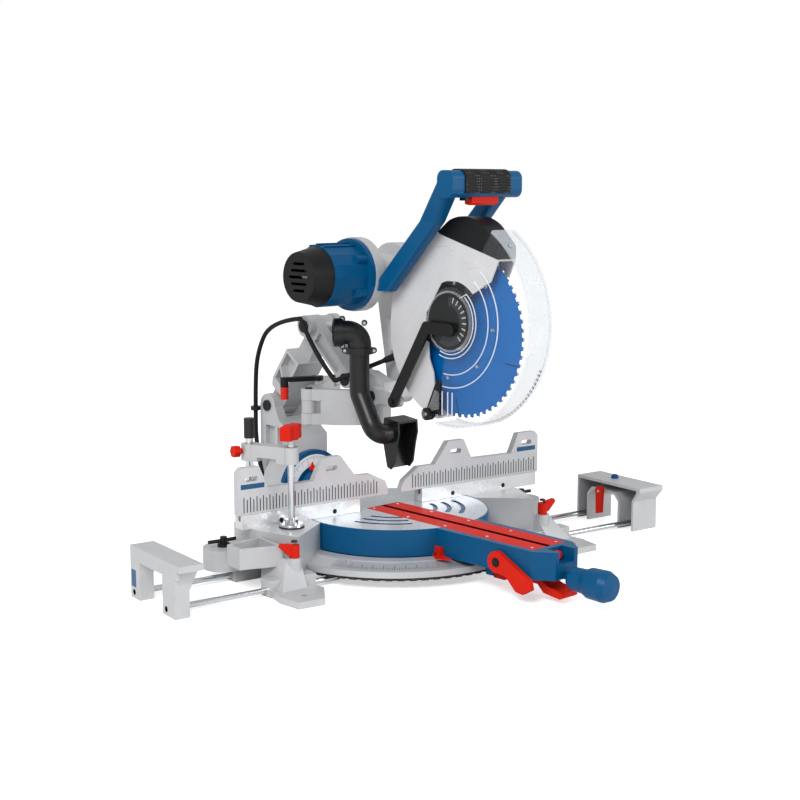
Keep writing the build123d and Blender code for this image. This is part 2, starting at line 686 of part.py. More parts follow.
# Level-pin links. The rear link rises from the tower to the knee; the front link drops to the carrier.
REAR_L = hypot(KNEE_V - REAR_V, KNEE_Z - REAR_Z)
FRONT_L = hypot(NOSE_V - KNEE_V, NOSE_Z - KNEE_Z)
REAR_PIN, KNEE_PIN, NOSE_PIN = (REAR_V, REAR_Z), (KNEE_V, KNEE_Z), (NOSE_V, NOSE_Z)
with BuildPart() as rear_link:
    with BuildSketch(along(-24, REAR_PIN, KNEE_PIN)):
        Circle(22)
        Polygon((0, -20), (60, -22), (60, 22), (0, 20), align=None)
    extrude(amount=38)
    with BuildSketch(along(-42, REAR_PIN, KNEE_PIN)):
        Polygon((42, -16), (56, -24), (REAR_L - 80, -23), (REAR_L - 80, 23), (56, 24), (42, 16), align=None)
    extrude(amount=68)
    with BuildSketch(along(-TANG_HALF, REAR_PIN, KNEE_PIN)):
        Polygon((60, -22), (REAR_L, -18), (REAR_L, 18), (60, 22), align=None)
        with Locations((REAR_L, 0)):
            Circle(19)
    extrude(amount=2 * TANG_HALF)
    with BuildSketch(along(-42, REAR_PIN, KNEE_PIN)):
        Polygon((60, -17), (86, -17), (60, 16), align=None)
        Polygon((92, -17), (REAR_L - 86, -17), (REAR_L - 86, 16), (66, 16), align=None)
    extrude(amount=16, mode=Mode.SUBTRACT)
    with BuildSketch(along(-50, REAR_PIN, KNEE_PIN)):
        Circle(PIN_R + RUN_FIT)
        with Locations((REAR_L, 0)):
            Circle(PIN_R)
    extrude(amount=100, mode=Mode.SUBTRACT)
export(rear_link, "rear_link")
with BuildPart() as knuckle_pin:
    with BuildSketch(side(-54)):
        with Locations(KNEE_PIN):
            Circle(PIN_R)
    extrude(amount=88)
    with BuildSketch(side(-54)):
        with Locations(KNEE_PIN):
            Circle(12)
    extrude(amount=3.5)
export(knuckle_pin, "knuckle_pin")
with BuildPart() as front_link:
    for u0, u1 in ((-50, -CHEEK_IN), (CHEEK_IN, 30)):
        with BuildSketch(along(u0, KNEE_PIN, NOSE_PIN)):
            Circle(21)
        extrude(amount=u1 - u0)
    for u0, u1 in ((-36, -CHEEK_IN), (CHEEK_IN, 28)):
        with BuildSketch(along(u0, KNEE_PIN, NOSE_PIN)):
            Polygon((0, -19), (FRONT_L, -15), (FRONT_L, 15), (0, 19), align=None)
            with Locations((FRONT_L, 0)):
                Circle(17)
        extrude(amount=u1 - u0)
    with BuildSketch(along(-CHEEK_IN, KNEE_PIN, NOSE_PIN)):
        Polygon((42, -17), (FRONT_L - 30, -16), (FRONT_L - 30, -7), (42, -7), align=None)
    extrude(amount=2 * CHEEK_IN)
    with BuildSketch(along(-37, KNEE_PIN, NOSE_PIN)):
        Polygon((30, -13), (FRONT_L - 26, -10), (FRONT_L - 26, 10), (30, 13), align=None)
    extrude(amount=9, mode=Mode.SUBTRACT)
    with BuildSketch(along(-60, KNEE_PIN, NOSE_PIN)):
        Circle(PIN_R + RUN_FIT)
        with Locations((FRONT_L, 0)):
            Circle(PIN_R + RUN_FIT)
    extrude(amount=120, mode=Mode.SUBTRACT)
export(front_link, "front_link")

# Upright-pin plates, folding square to the links so the carrier can only glide straight.
TOWER_PIN, ELBOW_PIN = (TOWER_PIN_U, TOWER_PIN_V), (ELBOW_U, ELBOW_V)
CARRIER_PIN = (CARRIER_PIN_U, CARRIER_PIN_V)
EAR_LOW, EAR_HIGH = 262.0, 286.0
KNUCKLE_LOW, KNUCKLE_HIGH = LUG_LOW[1] + SIDE_GAP, LUG_HIGH[0] - SIDE_GAP
with BuildPart() as rear_plate:
    with BuildSketch(plan_along(KNUCKLE_LOW, TOWER_PIN, ELBOW_PIN)):
        Circle(13)
        Polygon((0, -12), (60, -PLATE_T / 2), (60, PLATE_T / 2), (0, 12), align=None)
    extrude(amount=KNUCKLE_HIGH - KNUCKLE_LOW)
    with BuildSketch(plan_along(PLATE_LOW, TOWER_PIN, ELBOW_PIN)):
        Polygon((48, -PLATE_T / 2), (REAR_L - 26, -PLATE_T / 2), (REAR_L - 26, -4),
                (REAR_L - 52, PLATE_T / 2),
                (48, PLATE_T / 2), align=None)
    extrude(amount=PLATE_HIGH - PLATE_LOW)
    with BuildSketch(plan_along(EAR_LOW, TOWER_PIN, ELBOW_PIN)):
        Polygon((REAR_L - 40, -11), (REAR_L, -11), (REAR_L, 1), (REAR_L - 40, 1), align=None)
        with Locations((REAR_L, 0)):
            Circle(14)
    extrude(amount=EAR_HIGH - EAR_LOW)
    with BuildSketch(plan_along(PLATE_LOW + 8, TOWER_PIN, ELBOW_PIN)):
        Polygon((58, -12), (110, -12), (110, 0), (58, 0), align=None)
        Polygon((118, -12), (REAR_L - 44, -12), (REAR_L - 44, 0), (118, 0), align=None)
    extrude(amount=PLATE_HIGH - PLATE_LOW - 16, mode=Mode.SUBTRACT)
    with BuildSketch(plan_along(PLATE_LOW - 1, TOWER_PIN, ELBOW_PIN)):
        Circle(PIN_R + RUN_FIT)
        with Locations((REAR_L, 0)):
            Circle(PIN_R)
    extrude(amount=100, mode=Mode.SUBTRACT)
    with BuildSketch(plan_along(PLATE_HIGH, TOWER_PIN, ELBOW_PIN)):
        with Locations((140, 0)):
            Circle(8)
    extrude(amount=6)
    with BuildSketch(plan_along(PLATE_HIGH, TOWER_PIN, ELBOW_PIN)):
        with Locations((140, 0)):
            Circle(4)
    extrude(amount=16)
export(rear_plate, "rear_plate")
with BuildPart() as elbow_pin:
    with BuildSketch(deck(PLATE_LOW - 2)):
        with Locations(ELBOW_PIN):
            Circle(PIN_R)
    extrude(amount=PLATE_HIGH - PLATE_LOW + 4)
export(elbow_pin, "elbow_pin")
with BuildPart() as front_plate:
    for low, high in ((PLATE_LOW, EAR_LOW - SIDE_GAP), (EAR_HIGH + SIDE_GAP, PLATE_HIGH)):
        with BuildSketch(plan_along(low, ELBOW_PIN, CARRIER_PIN)):
            Circle(15)
            Polygon((0, -13), (40, -13), (40, 13), (0, 13), align=None)
        extrude(amount=high - low)
    with BuildSketch(plan_along(PLATE_LOW, ELBOW_PIN, CARRIER_PIN)):
        with BuildLine():
            ThreePointArc((24, -10), (70, -18), (FRONT_L - 30, -9))
            Line((FRONT_L - 30, -9), (FRONT_L - 30, 9))
            ThreePointArc((FRONT_L - 30, 9), (70, 0), (24, 10))
            Line((24, 10), (24, -10))
        make_face()
    extrude(amount=PLATE_HIGH - PLATE_LOW)
    with BuildSketch(plan_along(KNUCKLE_LOW, ELBOW_PIN, CARRIER_PIN)):
        Polygon((FRONT_L - 40, -9), (FRONT_L, -11), (FRONT_L, 11), (FRONT_L - 40, 9), align=None)
        with Locations((FRONT_L, 0)):
            Circle(12)
    extrude(amount=KNUCKLE_HIGH - 1.6 - KNUCKLE_LOW)
    with BuildSketch(plan_along(PLATE_LOW - 1, ELBOW_PIN, CARRIER_PIN)):
        Circle(PIN_R + RUN_FIT)
        with Locations((FRONT_L, 0)):
            Circle(PIN_R + 2.6)
    extrude(amount=100, mode=Mode.SUBTRACT)
    with BuildSketch(plan_along(EAR_LOW - SIDE_GAP, ELBOW_PIN, CARRIER_PIN)):
        Circle(18)
    extrude(amount=EAR_HIGH - EAR_LOW + 2 * SIDE_GAP, mode=Mode.SUBTRACT)
export(front_plate, "front_plate")

# Glide lock lever on the stud over the rear plate.
LOCK_PLANE = plan_along(PLATE_HIGH + 6 + RUN_FIT, TOWER_PIN, ELBOW_PIN)
with BuildPart() as glide_lock_lever:
    with BuildSketch(LOCK_PLANE):
        with Locations((140, 0)):
            Circle(11)
        Polygon((132, 0), (172, -60), (182, -56), (148, 4), align=None)
        with Locations((140, 0)):
            Circle(4 + RUN_FIT, mode=Mode.SUBTRACT)
    extrude(amount=9)
    with BuildSketch(LOCK_PLANE.offset(-34)):
        with Locations((177, -58)):
            Circle(8)
    extrude(amount=43)
export(glide_lock_lever, "glide_lock_lever")

# Carrier: block at the chop pivot, beam to the nose pin, lugs for the front plate, guard-link arm.
with BuildPart() as carrier:
    with BuildSketch(side(-TANG_HALF)):
        Polygon((12, 309.5), (NOSE_V, 312), (NOSE_V, 346), (60, 346), (16, 330), align=None)
        with Locations(NOSE_PIN):
            Circle(17)
    extrude(amount=2 * TANG_HALF)
    with BuildSketch(side(-30)):
        with Locations((CHOP_V, CHOP_Z)):
            Circle(20)
    extrude(amount=60)
    with BuildSketch(side(-TANG_HALF)):
        Polygon((12, 290), (49, 290), (49, 330), (12, 330), align=None)
    extrude(amount=TANG_HALF + 30)
    with BuildSketch(side(8)):
        Polygon((42, PLATE_LOW), (49, PLATE_LOW), (49, 300), (42, 300), align=None)
    extrude(amount=22)
    for low, high in ((PLATE_LOW, LUG_LOW[1]), (KNUCKLE_HIGH + 1.5, 308.5)):
        with BuildSketch(deck(low)):
            with Locations(CARRIER_PIN):
                Circle(11.5)
            Polygon((9, 44), (28, 44), (29.5, CARRIER_PIN_V - 7), (CARRIER_PIN_U - 11, CARRIER_PIN_V),
                    align=None)
        extrude(amount=high - low)
    with BuildSketch(side(-30)):
        Polygon((CHOP_V, 292), (CHOP_V, 320), (LINK_V, LINK_Z + 10), (LINK_V, LINK_Z - 10), align=None)
        with Locations((LINK_V, LINK_Z)):
            Circle(11)
    extrude(amount=8)
    with BuildSketch(side(-60)):
        with Locations(NOSE_PIN):
            Circle(PIN_R)
        with Locations((CHOP_V, CHOP_Z)):
            Circle(10)
        with Locations((LINK_V, LINK_Z)):
            Circle(4)
    extrude(amount=120, mode=Mode.SUBTRACT)
    with BuildSketch(deck(PLATE_LOW - 1)):
        with Locations(CARRIER_PIN):
            Circle(PIN_R)
    extrude(amount=71, mode=Mode.SUBTRACT)
export(carrier, "carrier")
with BuildPart() as carrier_pins:
    with BuildSketch(side(-40)):
        with Locations(NOSE_PIN):
            Circle(PIN_R)
    extrude(amount=72)
    with BuildSketch(side(-40)):
        with Locations(NOSE_PIN):
            Circle(12)
    extrude(amount=3.5)
    with BuildSketch(side(-34)):
        with Locations((CHOP_V, CHOP_Z)):
            Circle(10)
    extrude(amount=98)
    with BuildSketch(deck(PLATE_LOW - 3)):
        with Locations(CARRIER_PIN):
            Circle(PIN_R)
    extrude(amount=73)
    with BuildSketch(side(-46)):
        with Locations((LINK_V, LINK_Z)):
            Circle(4)
    extrude(amount=24)
export(carrier_pins, "carrier_pins")

# Dust path on the carrier: scoop behind the blade, bent duct and swivel port.
with BuildPart() as dust_hood:
    with BuildSketch(side(-24)):
        Polygon((-36, 262), (2, 266), (8, 232), (-6, 174), (-16, 170), (-26, 182), (-32, 216),
                (-38, 240), align=None)
    extrude(amount=50)
    with BuildSketch(side(-20.5)):
        Polygon((-60, 258), (-4, 258), (3, 232), (-10, 178), (-16, 160), (-60, 160), align=None)
    extrude(amount=43, mode=Mode.SUBTRACT)
    with BuildSketch(side(-20.5)):
        Polygon((-8, 262), (-4, 258), (3, 232), (8, 232), (2, 266), align=None)
    extrude(amount=43)
export(dust_hood, "dust_hood")
DUCT_R = 18.5
OUTLET_R, OUTLET_DEEP = DUCT_R + 0.5, 24.0
DUCT_BEND = DUCT_R + 4.5
with BuildPart() as dust_duct:
    with BuildLine() as duct_path:
        FilletPolyline(spot(-58, 32, 404), spot(-58, 32, 312), spot(-58, -12, 238), spot(-24.2, -12, 238),
                       radius=DUCT_BEND)
    with BuildSketch(Plane(origin=duct_path.line @ 0, z_dir=duct_path.line % 0)):
        Circle(DUCT_R)
        Circle(DUCT_R - 3, mode=Mode.SUBTRACT)
    sweep()
export(dust_duct, "dust_duct")
with BuildPart() as dust_port:
    with BuildLine() as port_path:
        FilletPolyline(spot(-58, 32, 388), spot(-58, 32, 426), spot(-98, 60, 426), radius=DUCT_BEND)
    with BuildSketch(Plane(origin=port_path.line @ 0, z_dir=port_path.line % 0)):
        Circle(DUCT_R + 3.4)
        Circle(DUCT_R + RUN_FIT, mode=Mode.SUBTRACT)
    sweep()
    with BuildSketch(Plane(origin=spot(-84, 50.2, 426), z_dir=spot(-40, 28, 0) - spot(0, 0, 0))):
        Circle(DUCT_R + 8)
        Circle(DUCT_R + 2, mode=Mode.SUBTRACT)
    extrude(amount=16)
    with BuildSketch(deck(386)):
        with Locations((-58, 32)):
            Circle(DUCT_R + 7)
            Circle(DUCT_R + 3, mode=Mode.SUBTRACT)
    extrude(amount=12)
    with BuildSketch(Plane(origin=port_path.line @ 1, z_dir=port_path.line % 1)):
        Circle(OUTLET_R)
    extrude(amount=-OUTLET_DEEP, mode=Mode.SUBTRACT)
export(dust_port, "dust_port")

# Head casting: right-hand arm from the chop eye to the arbor boss and the motor crossing.
ARM_IN, ARM_OUT = 30.6, 60.0
EYE_R = 19.5
with BuildPart() as head_casting:
    with BuildSketch(side(ARM_IN)):
        with Locations((CHOP_V, CHOP_Z)):
            Circle(EYE_R)
        Polygon((CHOP_V - EYE_R, CHOP_Z), (CHOP_V + EYE_R - 0.5, CHOP_Z), (MOTOR_V + 40, MOTOR_Z - 30),
                (MOTOR_V - 44, MOTOR_Z - 60),
                align=None)
        with Locations((MOTOR_V, MOTOR_Z)):
            Circle(56)
        with Locations((GUARD_V, GUARD_Z)):
            Circle(44)
        Polygon((GUARD_V - 4, GUARD_Z + 43), (MOTOR_V - 14, MOTOR_Z + 53), (MOTOR_V + 30, MOTOR_Z - 46),
                (MOTOR_V - 60, MOTOR_Z - 96), (GUARD_V + 4, GUARD_Z - 43), align=None)
    extrude(amount=ARM_OUT - ARM_IN)
    with BuildSketch(side(SHELL_HALF + 0.4)):
        with Locations((GUARD_V, GUARD_Z)):
            Circle(42)
    extrude(amount=ARM_IN - SHELL_HALF)
    with BuildSketch(side(-30)):
        with Locations((MOTOR_V, MOTOR_Z)):
            Circle(38)
    extrude(amount=ARM_IN + 31)
    with BuildSketch(side(-30)):
        with Locations((MOTOR_V, MOTOR_Z)):
            Circle(54)
    extrude(amount=-14)
    with BuildSketch(side(-44)):
        with Locations((MOTOR_V, MOTOR_Z)):
            Circle(GEAR_R)
    extrude(amount=-20)
    with BuildSketch(side(18)):
        Polygon((-10, 388), (34, 388), (40, 446), (-11, 446), align=None)
    extrude(amount=ARM_IN - 17)
    with BuildSketch(side(ARM_IN - 40)):
        with Locations((BLADE_V, BLADE_Z)):
            Circle(BORE_R + RUN_FIT)
    extrude(amount=100, mode=Mode.SUBTRACT)
    with BuildSketch(side(-80)):
        with Locations((MOTOR_V, MOTOR_Z)):
            Circle(9)
    extrude(amount=120, mode=Mode.SUBTRACT)
    with BuildSketch(side(0)):
        with Locations((CHOP_V, CHOP_Z)):
            Circle(10 + RUN_FIT)
    extrude(amount=100, mode=Mode.SUBTRACT)
    with BuildSketch(side(ARM_OUT - 8)):
        Polygon((-130, 470), (-10, 530), (-20, 462), (-120, 440), align=None)
    extrude(amount=20, mode=Mode.SUBTRACT)
    with BuildSketch(side(ARM_OUT - 8)):
        Polygon((26, 340), (40, 340), (60, 460), (20, 452), align=None)
    extrude(amount=20, mode=Mode.SUBTRACT)
export(head_casting, "head_casting")

# Motor: blue housing with top ribs and screw lugs, black vented end cap, armature inside.
MOTOR_NEAR, MOTOR_FAR, CAP_END = -64.0, -150.0, -190.0
with BuildPart() as motor_housing:
    with BuildSketch(side(MOTOR_NEAR)):
        with Locations((MOTOR_V, MOTOR_Z)):
            RegularPolygon(MOTOR_R + 2, 16)
    extrude(amount=MOTOR_FAR - MOTOR_NEAR)
    with BuildSketch(side(MOTOR_NEAR)):
        with Locations((MOTOR_V, MOTOR_Z)):
            Circle(GEAR_R - 2)
    extrude(amount=-10)
    for lean in (-20, 0, 20):
        with BuildSketch(side(MOTOR_NEAR - 12)):
            with Locations((MOTOR_V + (MOTOR_R + 1) * sin(radians(lean)),
                            MOTOR_Z + (MOTOR_R + 1) * cos(radians(lean)))):
                Rectangle(4, 8, rotation=-lean)
        extrude(amount=MOTOR_FAR - MOTOR_NEAR + 14)
    for lean in (-58, 58, 122, 238):
        with BuildSketch(side(MOTOR_NEAR - 8)):
            with Locations((MOTOR_V + (MOTOR_R + 2) * sin(radians(lean)),
                            MOTOR_Z + (MOTOR_R + 2) * cos(radians(lean)))):
                Circle(8)
        extrude(amount=-26)
    with BuildSketch(side(MOTOR_NEAR - 6)):
        with Locations((MOTOR_V, MOTOR_Z)):
            Circle(MOTOR_R - 6)
    extrude(amount=-100, mode=Mode.SUBTRACT)
    with BuildSketch(side(0)):
        with Locations((MOTOR_V, MOTOR_Z)):
            Circle(9)
    extrude(amount=-90, mode=Mode.SUBTRACT)
export(motor_housing, "motor_housing")
with BuildPart() as motor_end_cap:
    with BuildSketch(side(MOTOR_FAR)):
        with Locations((MOTOR_V, MOTOR_Z)):
            Circle(MOTOR_R)
    with BuildSketch(side(CAP_END)):
        with Locations((MOTOR_V, MOTOR_Z)):
            Circle(MOTOR_R - 9)
    loft()
    with BuildSketch(side(MOTOR_FAR)):
        with Locations((MOTOR_V, MOTOR_Z)):
            Circle(MOTOR_R - 13)
    extrude(amount=-34, mode=Mode.SUBTRACT)
    with BuildSketch(side(CAP_END - 1)):
        for row in (-24, -12, 0, 12, 24):
            with Locations((MOTOR_V, MOTOR_Z + row)):
                SlotOverall(56 - abs(row), 5)
    extrude(amount=12, mode=Mode.SUBTRACT)
    with BuildSketch(side(MOTOR_FAR)):
        with Locations((MOTOR_V, MOTOR_Z)):
            Circle(MOTOR_R - 6.4)
            Circle(MOTOR_R - 12, mode=Mode.SUBTRACT)
    extrude(amount=8)
export(motor_end_cap, "motor_end_cap")
with BuildPart() as armature:
    with BuildSketch(side(-142)):
        with Locations((MOTOR_V, MOTOR_Z)):
            Circle(36)
    extrude(amount=54)
    with BuildSketch(side(-176)):
        with Locations((MOTOR_V, MOTOR_Z)):
            Circle(8)
    extrude(amount=214)
    with BuildSketch(side(-166)):
        with Locations((MOTOR_V, MOTOR_Z)):
            Circle(18)
    extrude(amount=16)
export(armature, "armature")

# Upper guard: silver shell over the back of the blade, with its black top cover and hub bracket.
SHELL_KEEP = [(-285, 569), (-267, 531), (-216, 504), (-150, 520), (-118, 470), (-114, 417), (-117, 387),
              (-128, 363),
              (-140, 270), (60, 270), (60, 640), (-136, 640), (-136, 611)]
with BuildPart() as upper_guard:
    with BuildSketch(side(-SHELL_HALF)):
        with Locations((BLADE_V, BLADE_Z)):
            Circle(SHELL_R)
        with Locations((GUARD_V, GUARD_Z)):
            Circle(158)
        Polygon((-136, 611), (-285, 569), (-267, 531), (-120, 540), align=None)
        Polygon(*SHELL_KEEP, align=None, mode=Mode.INTERSECT)
    extrude(amount=2 * SHELL_HALF)
    with BuildSketch(side(-SHELL_HALF + 2.5)):
        with Locations((BLADE_V, BLADE_Z)):
            Circle(SHELL_R - 3.5)
        with Locations((GUARD_V, GUARD_Z)):
            Circle(154.5)
    extrude(amount=2 * SHELL_HALF - 5, mode=Mode.SUBTRACT)
export(upper_guard, "upper_guard")
with BuildPart() as guard_cover:
    with BuildSketch(side(-SHELL_HALF - 1)):
        with BuildLine():
            Polyline((-283, 570.4), (-283, 592), (-250, 625))
            ThreePointArc((-250, 625), (-206, 641), (-165, 633))
            Polyline((-165, 633), (-137, 612.6), (-283, 570.4))
        make_face()
    extrude(amount=2 * SHELL_HALF + 2)
    with BuildSketch(side(-SHELL_HALF - 2)):
        Polygon((-216, 506), (-150, 524), (-112, 470), (-110, 420), (-134, 412), (-150, 448),
                (-196, 490), align=None)
    extrude(amount=1.7)
export(guard_cover, "guard_cover")

# D handle with grip, trigger and lock-off slide.
GRIP_V, GRIP_Z = -220.0, 696.0
BAR_W, BAR_H = 38.0, 46.0
with BuildPart() as handle:
    with BuildSketch(side(-86)):
        with Locations((GRIP_V, GRIP_Z)):
            RectangleRounded(BAR_W, BAR_H, 14)
    extrude(amount=170)
    for sign, waist in ((-1, 47), (1, 64)):
        with BuildSketch(deck(GRIP_Z + 8)):
            with Locations((sign * 68, GRIP_V + 4)):
                RectangleRounded(34, 36, 9)
        with BuildSketch(deck(GRIP_Z - 64)):
            with Locations((sign * waist, GRIP_V + 70)):
                RectangleRounded(28, 46, 9)
        loft()
        with BuildSketch(deck(GRIP_Z - 64)):
            with Locations((sign * waist, GRIP_V + 70)):
                RectangleRounded(28, 46, 9)
        with BuildSketch(deck(MOTOR_Z - 27)):
            with Locations((sign * 46, MOTOR_V - 66)):
                RectangleRounded(26, 52, 9)
        loft()
    add(head_casting.part, mode=Mode.SUBTRACT)
    with BuildSketch(side(-30)):
        with Locations((MOTOR_V, MOTOR_Z)):
            Circle(GEAR_R + 0.1)
    extrude(amount=-60, mode=Mode.SUBTRACT)
    with BuildSketch(deck(GRIP_Z - 24)):
        with Locations((0, GRIP_V)):
            Rectangle(96, 22)
    extrude(amount=16, mode=Mode.SUBTRACT)
    with BuildSketch(deck(400)):
        with Locations((0, -110)):
            Rectangle(2 * ARM_IN, 200)
    extrude(amount=GRIP_Z - 454, mode=Mode.SUBTRACT)
    with BuildSketch(deck(400)):
        with Locations((-100, -20), (100, -20)):
            Rectangle(80, 200)
    extrude(amount=112, mode=Mode.SUBTRACT)
export(handle, "handle")
with BuildPart() as grip_insert:
    with BuildSketch(side(-57)):
        with Locations((GRIP_V, GRIP_Z)):
            RectangleRounded(BAR_W + 5, BAR_H + 5, 16)
            RectangleRounded(BAR_W, BAR_H, 14, mode=Mode.SUBTRACT)
        with Locations((GRIP_V, GRIP_Z - 31)):
            Rectangle(60, 30, mode=Mode.SUBTRACT)
    extrude(amount=110)
    add(handle.part, mode=Mode.SUBTRACT)
export(grip_insert, "grip_insert")
with BuildPart() as trigger:
    with BuildSketch(side(-30)):
        Polygon((GRIP_V - 9.5, GRIP_Z - 14), (GRIP_V - 9.5, GRIP_Z - 32), (GRIP_V - 2, GRIP_Z - 36),
                (GRIP_V + 8, GRIP_Z - 34), (GRIP_V + 9.5, GRIP_Z - 14), align=None)
    extrude(amount=64)
export(trigger, "trigger")
with BuildPart() as lock_off:
    with BuildSketch(side(-44)):
        Polygon((GRIP_V - 7, GRIP_Z - 12), (GRIP_V - 7, GRIP_Z - 28), (GRIP_V + 7, GRIP_Z - 28),
                (GRIP_V + 7, GRIP_Z - 12),
                align=None)
    extrude(amount=8)
export(lock_off, "lock_off")

# Blade, arbor and flanges.
with BuildPart() as blade:
    with BuildSketch(side(-BLADE_T / 2)):
        with Locations((BLADE_V, BLADE_Z)):
            Circle(BLADE_R - 7)
            with PolarLocations(BLADE_R - 9, BLADE_TEETH):
                Polygon((0, -5.2), (0, 5.2), (6, 4.4), (9, -0.6), (8.6, -2.4), (4, -2.0), align=None)
            Circle(BORE_R, mode=Mode.SUBTRACT)
    extrude(amount=BLADE_T)
export(blade, "blade")
with BuildPart() as arbor:
    with BuildSketch(side(-15)):
        with Locations((BLADE_V, BLADE_Z)):
            Circle(BORE_R)
    extrude(amount=67)
    for u0 in (-BLADE_T / 2 - 5, BLADE_T / 2):
        with BuildSketch(side(u0)):
            with Locations((BLADE_V, BLADE_Z)):
                Circle(30)
        extrude(amount=5)
    with BuildSketch(side(-15)):
        with Locations((BLADE_V, BLADE_Z)):
            RegularPolygon(11, 6)
    extrude(amount=-6)
export(arbor, "arbor")

# Clear lower guard: two walls and a rim round the front of the blade, turning on the arbor boss.
HUB_OPEN = 46.0
with BuildPart() as lower_guard:
    with BuildSketch(side(-GUARD_HALF)):
        with Locations((GUARD_V, GUARD_Z)):
            Circle(GUARD_R)
            Polygon((0, 0), (300 * cos(radians(GUARD_FROM)), 300 * sin(radians(GUARD_FROM))),
                    (-300, 300), (-300, -300),
                    (300 * cos(radians(GUARD_TO)), 300 * sin(radians(GUARD_TO))),
                    align=None, mode=Mode.INTERSECT)
            Circle(60)
    extrude(amount=2 * GUARD_HALF)
    with BuildSketch(side(-GUARD_HALF + GUARD_WALL)):
        with Locations((GUARD_V, GUARD_Z)):
            Circle(GUARD_R - 3)
    extrude(amount=2 * (GUARD_HALF - GUARD_WALL), mode=Mode.SUBTRACT)
    with BuildSketch(side(-GUARD_HALF - 1)):
        with Locations((GUARD_V, GUARD_Z)):
            Circle(HUB_OPEN)
    extrude(amount=2 * GUARD_HALF + 2, mode=Mode.SUBTRACT)
    with BuildSketch(side(-GUARD_HALF)):
        with Locations((GUARD_V, GUARD_Z)):
            Circle(113)
            Circle(106, mode=Mode.SUBTRACT)
            Polygon((0, 0), (300 * cos(radians(GUARD_FROM)), 300 * sin(radians(GUARD_FROM))),
                    (-300, 300), (-300, -300),
                    (300 * cos(radians(GUARD_TO)), 300 * sin(radians(GUARD_TO))),
                    align=None, mode=Mode.INTERSECT)
    extrude(amount=-2.5)
export(lower_guard, "lower_guard")
with BuildPart() as guard_hub_plate:
    with BuildSketch(side(-GUARD_HALF)):
        with Locations((GUARD_V, GUARD_Z)):
            Circle(54)
    extrude(amount=-3.5)
    with BuildSketch(side(-GUARD_HALF)):
        with Locations((CRANK_V, CRANK_Z)):
            Circle(10)
    extrude(amount=-7.5)
    with BuildSketch(side(-GUARD_HALF)):
        Polygon((-150, 300), (-150, 330), (-141, 334), (-128, 306), (-112, 292), (-118, 284),
                (-136, 296), align=None)
    extrude(amount=-4)
    with BuildSketch(side(-GUARD_HALF)):
        with Locations((-114, 287)):
            Circle(9)
    extrude(amount=-14)
export(guard_hub_plate, "guard_hub_plate")
with BuildPart() as guard_link:
    with BuildSketch(side(-42)):
        with Locations((LINK_V, LINK_Z), (CRANK_V, CRANK_Z), (-128, 445)):
            Circle(11)
        Polygon((LINK_V - 9, LINK_Z - 5), (LINK_V + 9, LINK_Z + 5), (-119, 451), (-137, 439), align=None)
        Polygon((CRANK_V, CRANK_Z - 11), (CRANK_V, CRANK_Z + 11), (-128, 456), (-128, 434), align=None)
        with Locations((LINK_V, LINK_Z)):
            Circle(4 + RUN_FIT, mode=Mode.SUBTRACT)
    extrude(amount=5)
export(guard_link, "guard_link")

# Power lead. Clipped stretch: from the gland on the head, over the glide arm, down behind the tower.


def corner_radii(points):
    """Largest tangent arc at each corner of a route."""
    radii = []
    for before, corner, after in zip(points, points[1:], points[2:]):
        run = min((corner - before).length, (after - corner).length)
        turn = radians((corner - before).get_angle(after - corner))
        radii.append(0.45 * run / tan(turn / 2))
    return radii


LEAD_ROUTE = [(25, 22, 376), (-14, 40, 362), (-57, 104, 328), (-61, 158, 372), (-62, 200, 440),
              (-58, 300, 428),
              (-54, 352, 360), (CLIP_U, CLIP_V, CLIP_Z + 36), (CLIP_U, CLIP_V, CLIP_Z - 40)]
lead_points = [spot(*point) for point in LEAD_ROUTE]
lead_radii = corner_radii(lead_points)
with BuildPart() as power_lead:
    with BuildLine() as lead_path:
        FilletPolyline(*lead_points, radius=lead_radii)
    with BuildSketch(Plane(origin=lead_path.line @ 0, z_dir=lead_path.line % 0)):
        Circle(LEAD_R)
    sweep()
export(power_lead, "power_lead")

with BuildPart() as cord_gland:
    with BuildSketch(Plane(origin=lead_path.line @ 0, z_dir=lead_path.line % 0)):
        Circle(7.5)
    extrude(amount=-10)
    add(head_casting.part, mode=Mode.SUBTRACT)
export(cord_gland, "cord_gland")

# Free stretch: from behind the tower down to the bench and along to the coil.
COIL_X, COIL_Y = 60.0, 430.0
LEAD_PITCH = 9.6
COIL_TURNS = 3
COIL_OUT = 64.0
BENCH_Z = LEAD_R + 0.4
DROP_ROUTE = [(CLIP_U, CLIP_V, CLIP_Z - 40), (CLIP_U, CLIP_V, CLIP_Z - 80), (-54, 337, 104), (-50, 346, 46)]
BENCH_ROUTE = [(-56, 359, BENCH_Z), (0, COIL_Y - COIL_OUT, BENCH_Z),
               (COIL_X - 2 * LEAD_R, COIL_Y - COIL_OUT, BENCH_Z)]
free_points = [spot(*point) for point in DROP_ROUTE] + [Vector(*point) for point in BENCH_ROUTE]
free_radii = corner_radii(free_points)
with BuildPart() as free_lead:
    with BuildLine() as free_path:
        FilletPolyline(*free_points, radius=free_radii)
    with BuildSketch(Plane(origin=free_path.line @ 0, z_dir=free_path.line % 0)):
        Circle(LEAD_R)
    sweep()
export(free_lead, "free_lead")

# Coil: three turns spiralling in on the bench, a climb at the middle, three turns spiralling out on top.
COIL_SPAN = 2 * COIL_TURNS + 0.5


def coil_point(turn):
    """Centre of the coiled lead after so many turns, counted from the outer start."""
    middle = COIL_SPAN / 2
    radius = COIL_OUT - LEAD_PITCH * (middle - 0.25) + LEAD_PITCH * (abs(turn - middle) - 0.25)
    climb = min(max((turn - COIL_TURNS) / 0.5, 0), 1)
    angle = 2 * pi * turn - pi / 2
    return Vector(COIL_X + radius * cos(angle), COIL_Y + radius * sin(angle), BENCH_Z + LEAD_PITCH * climb)


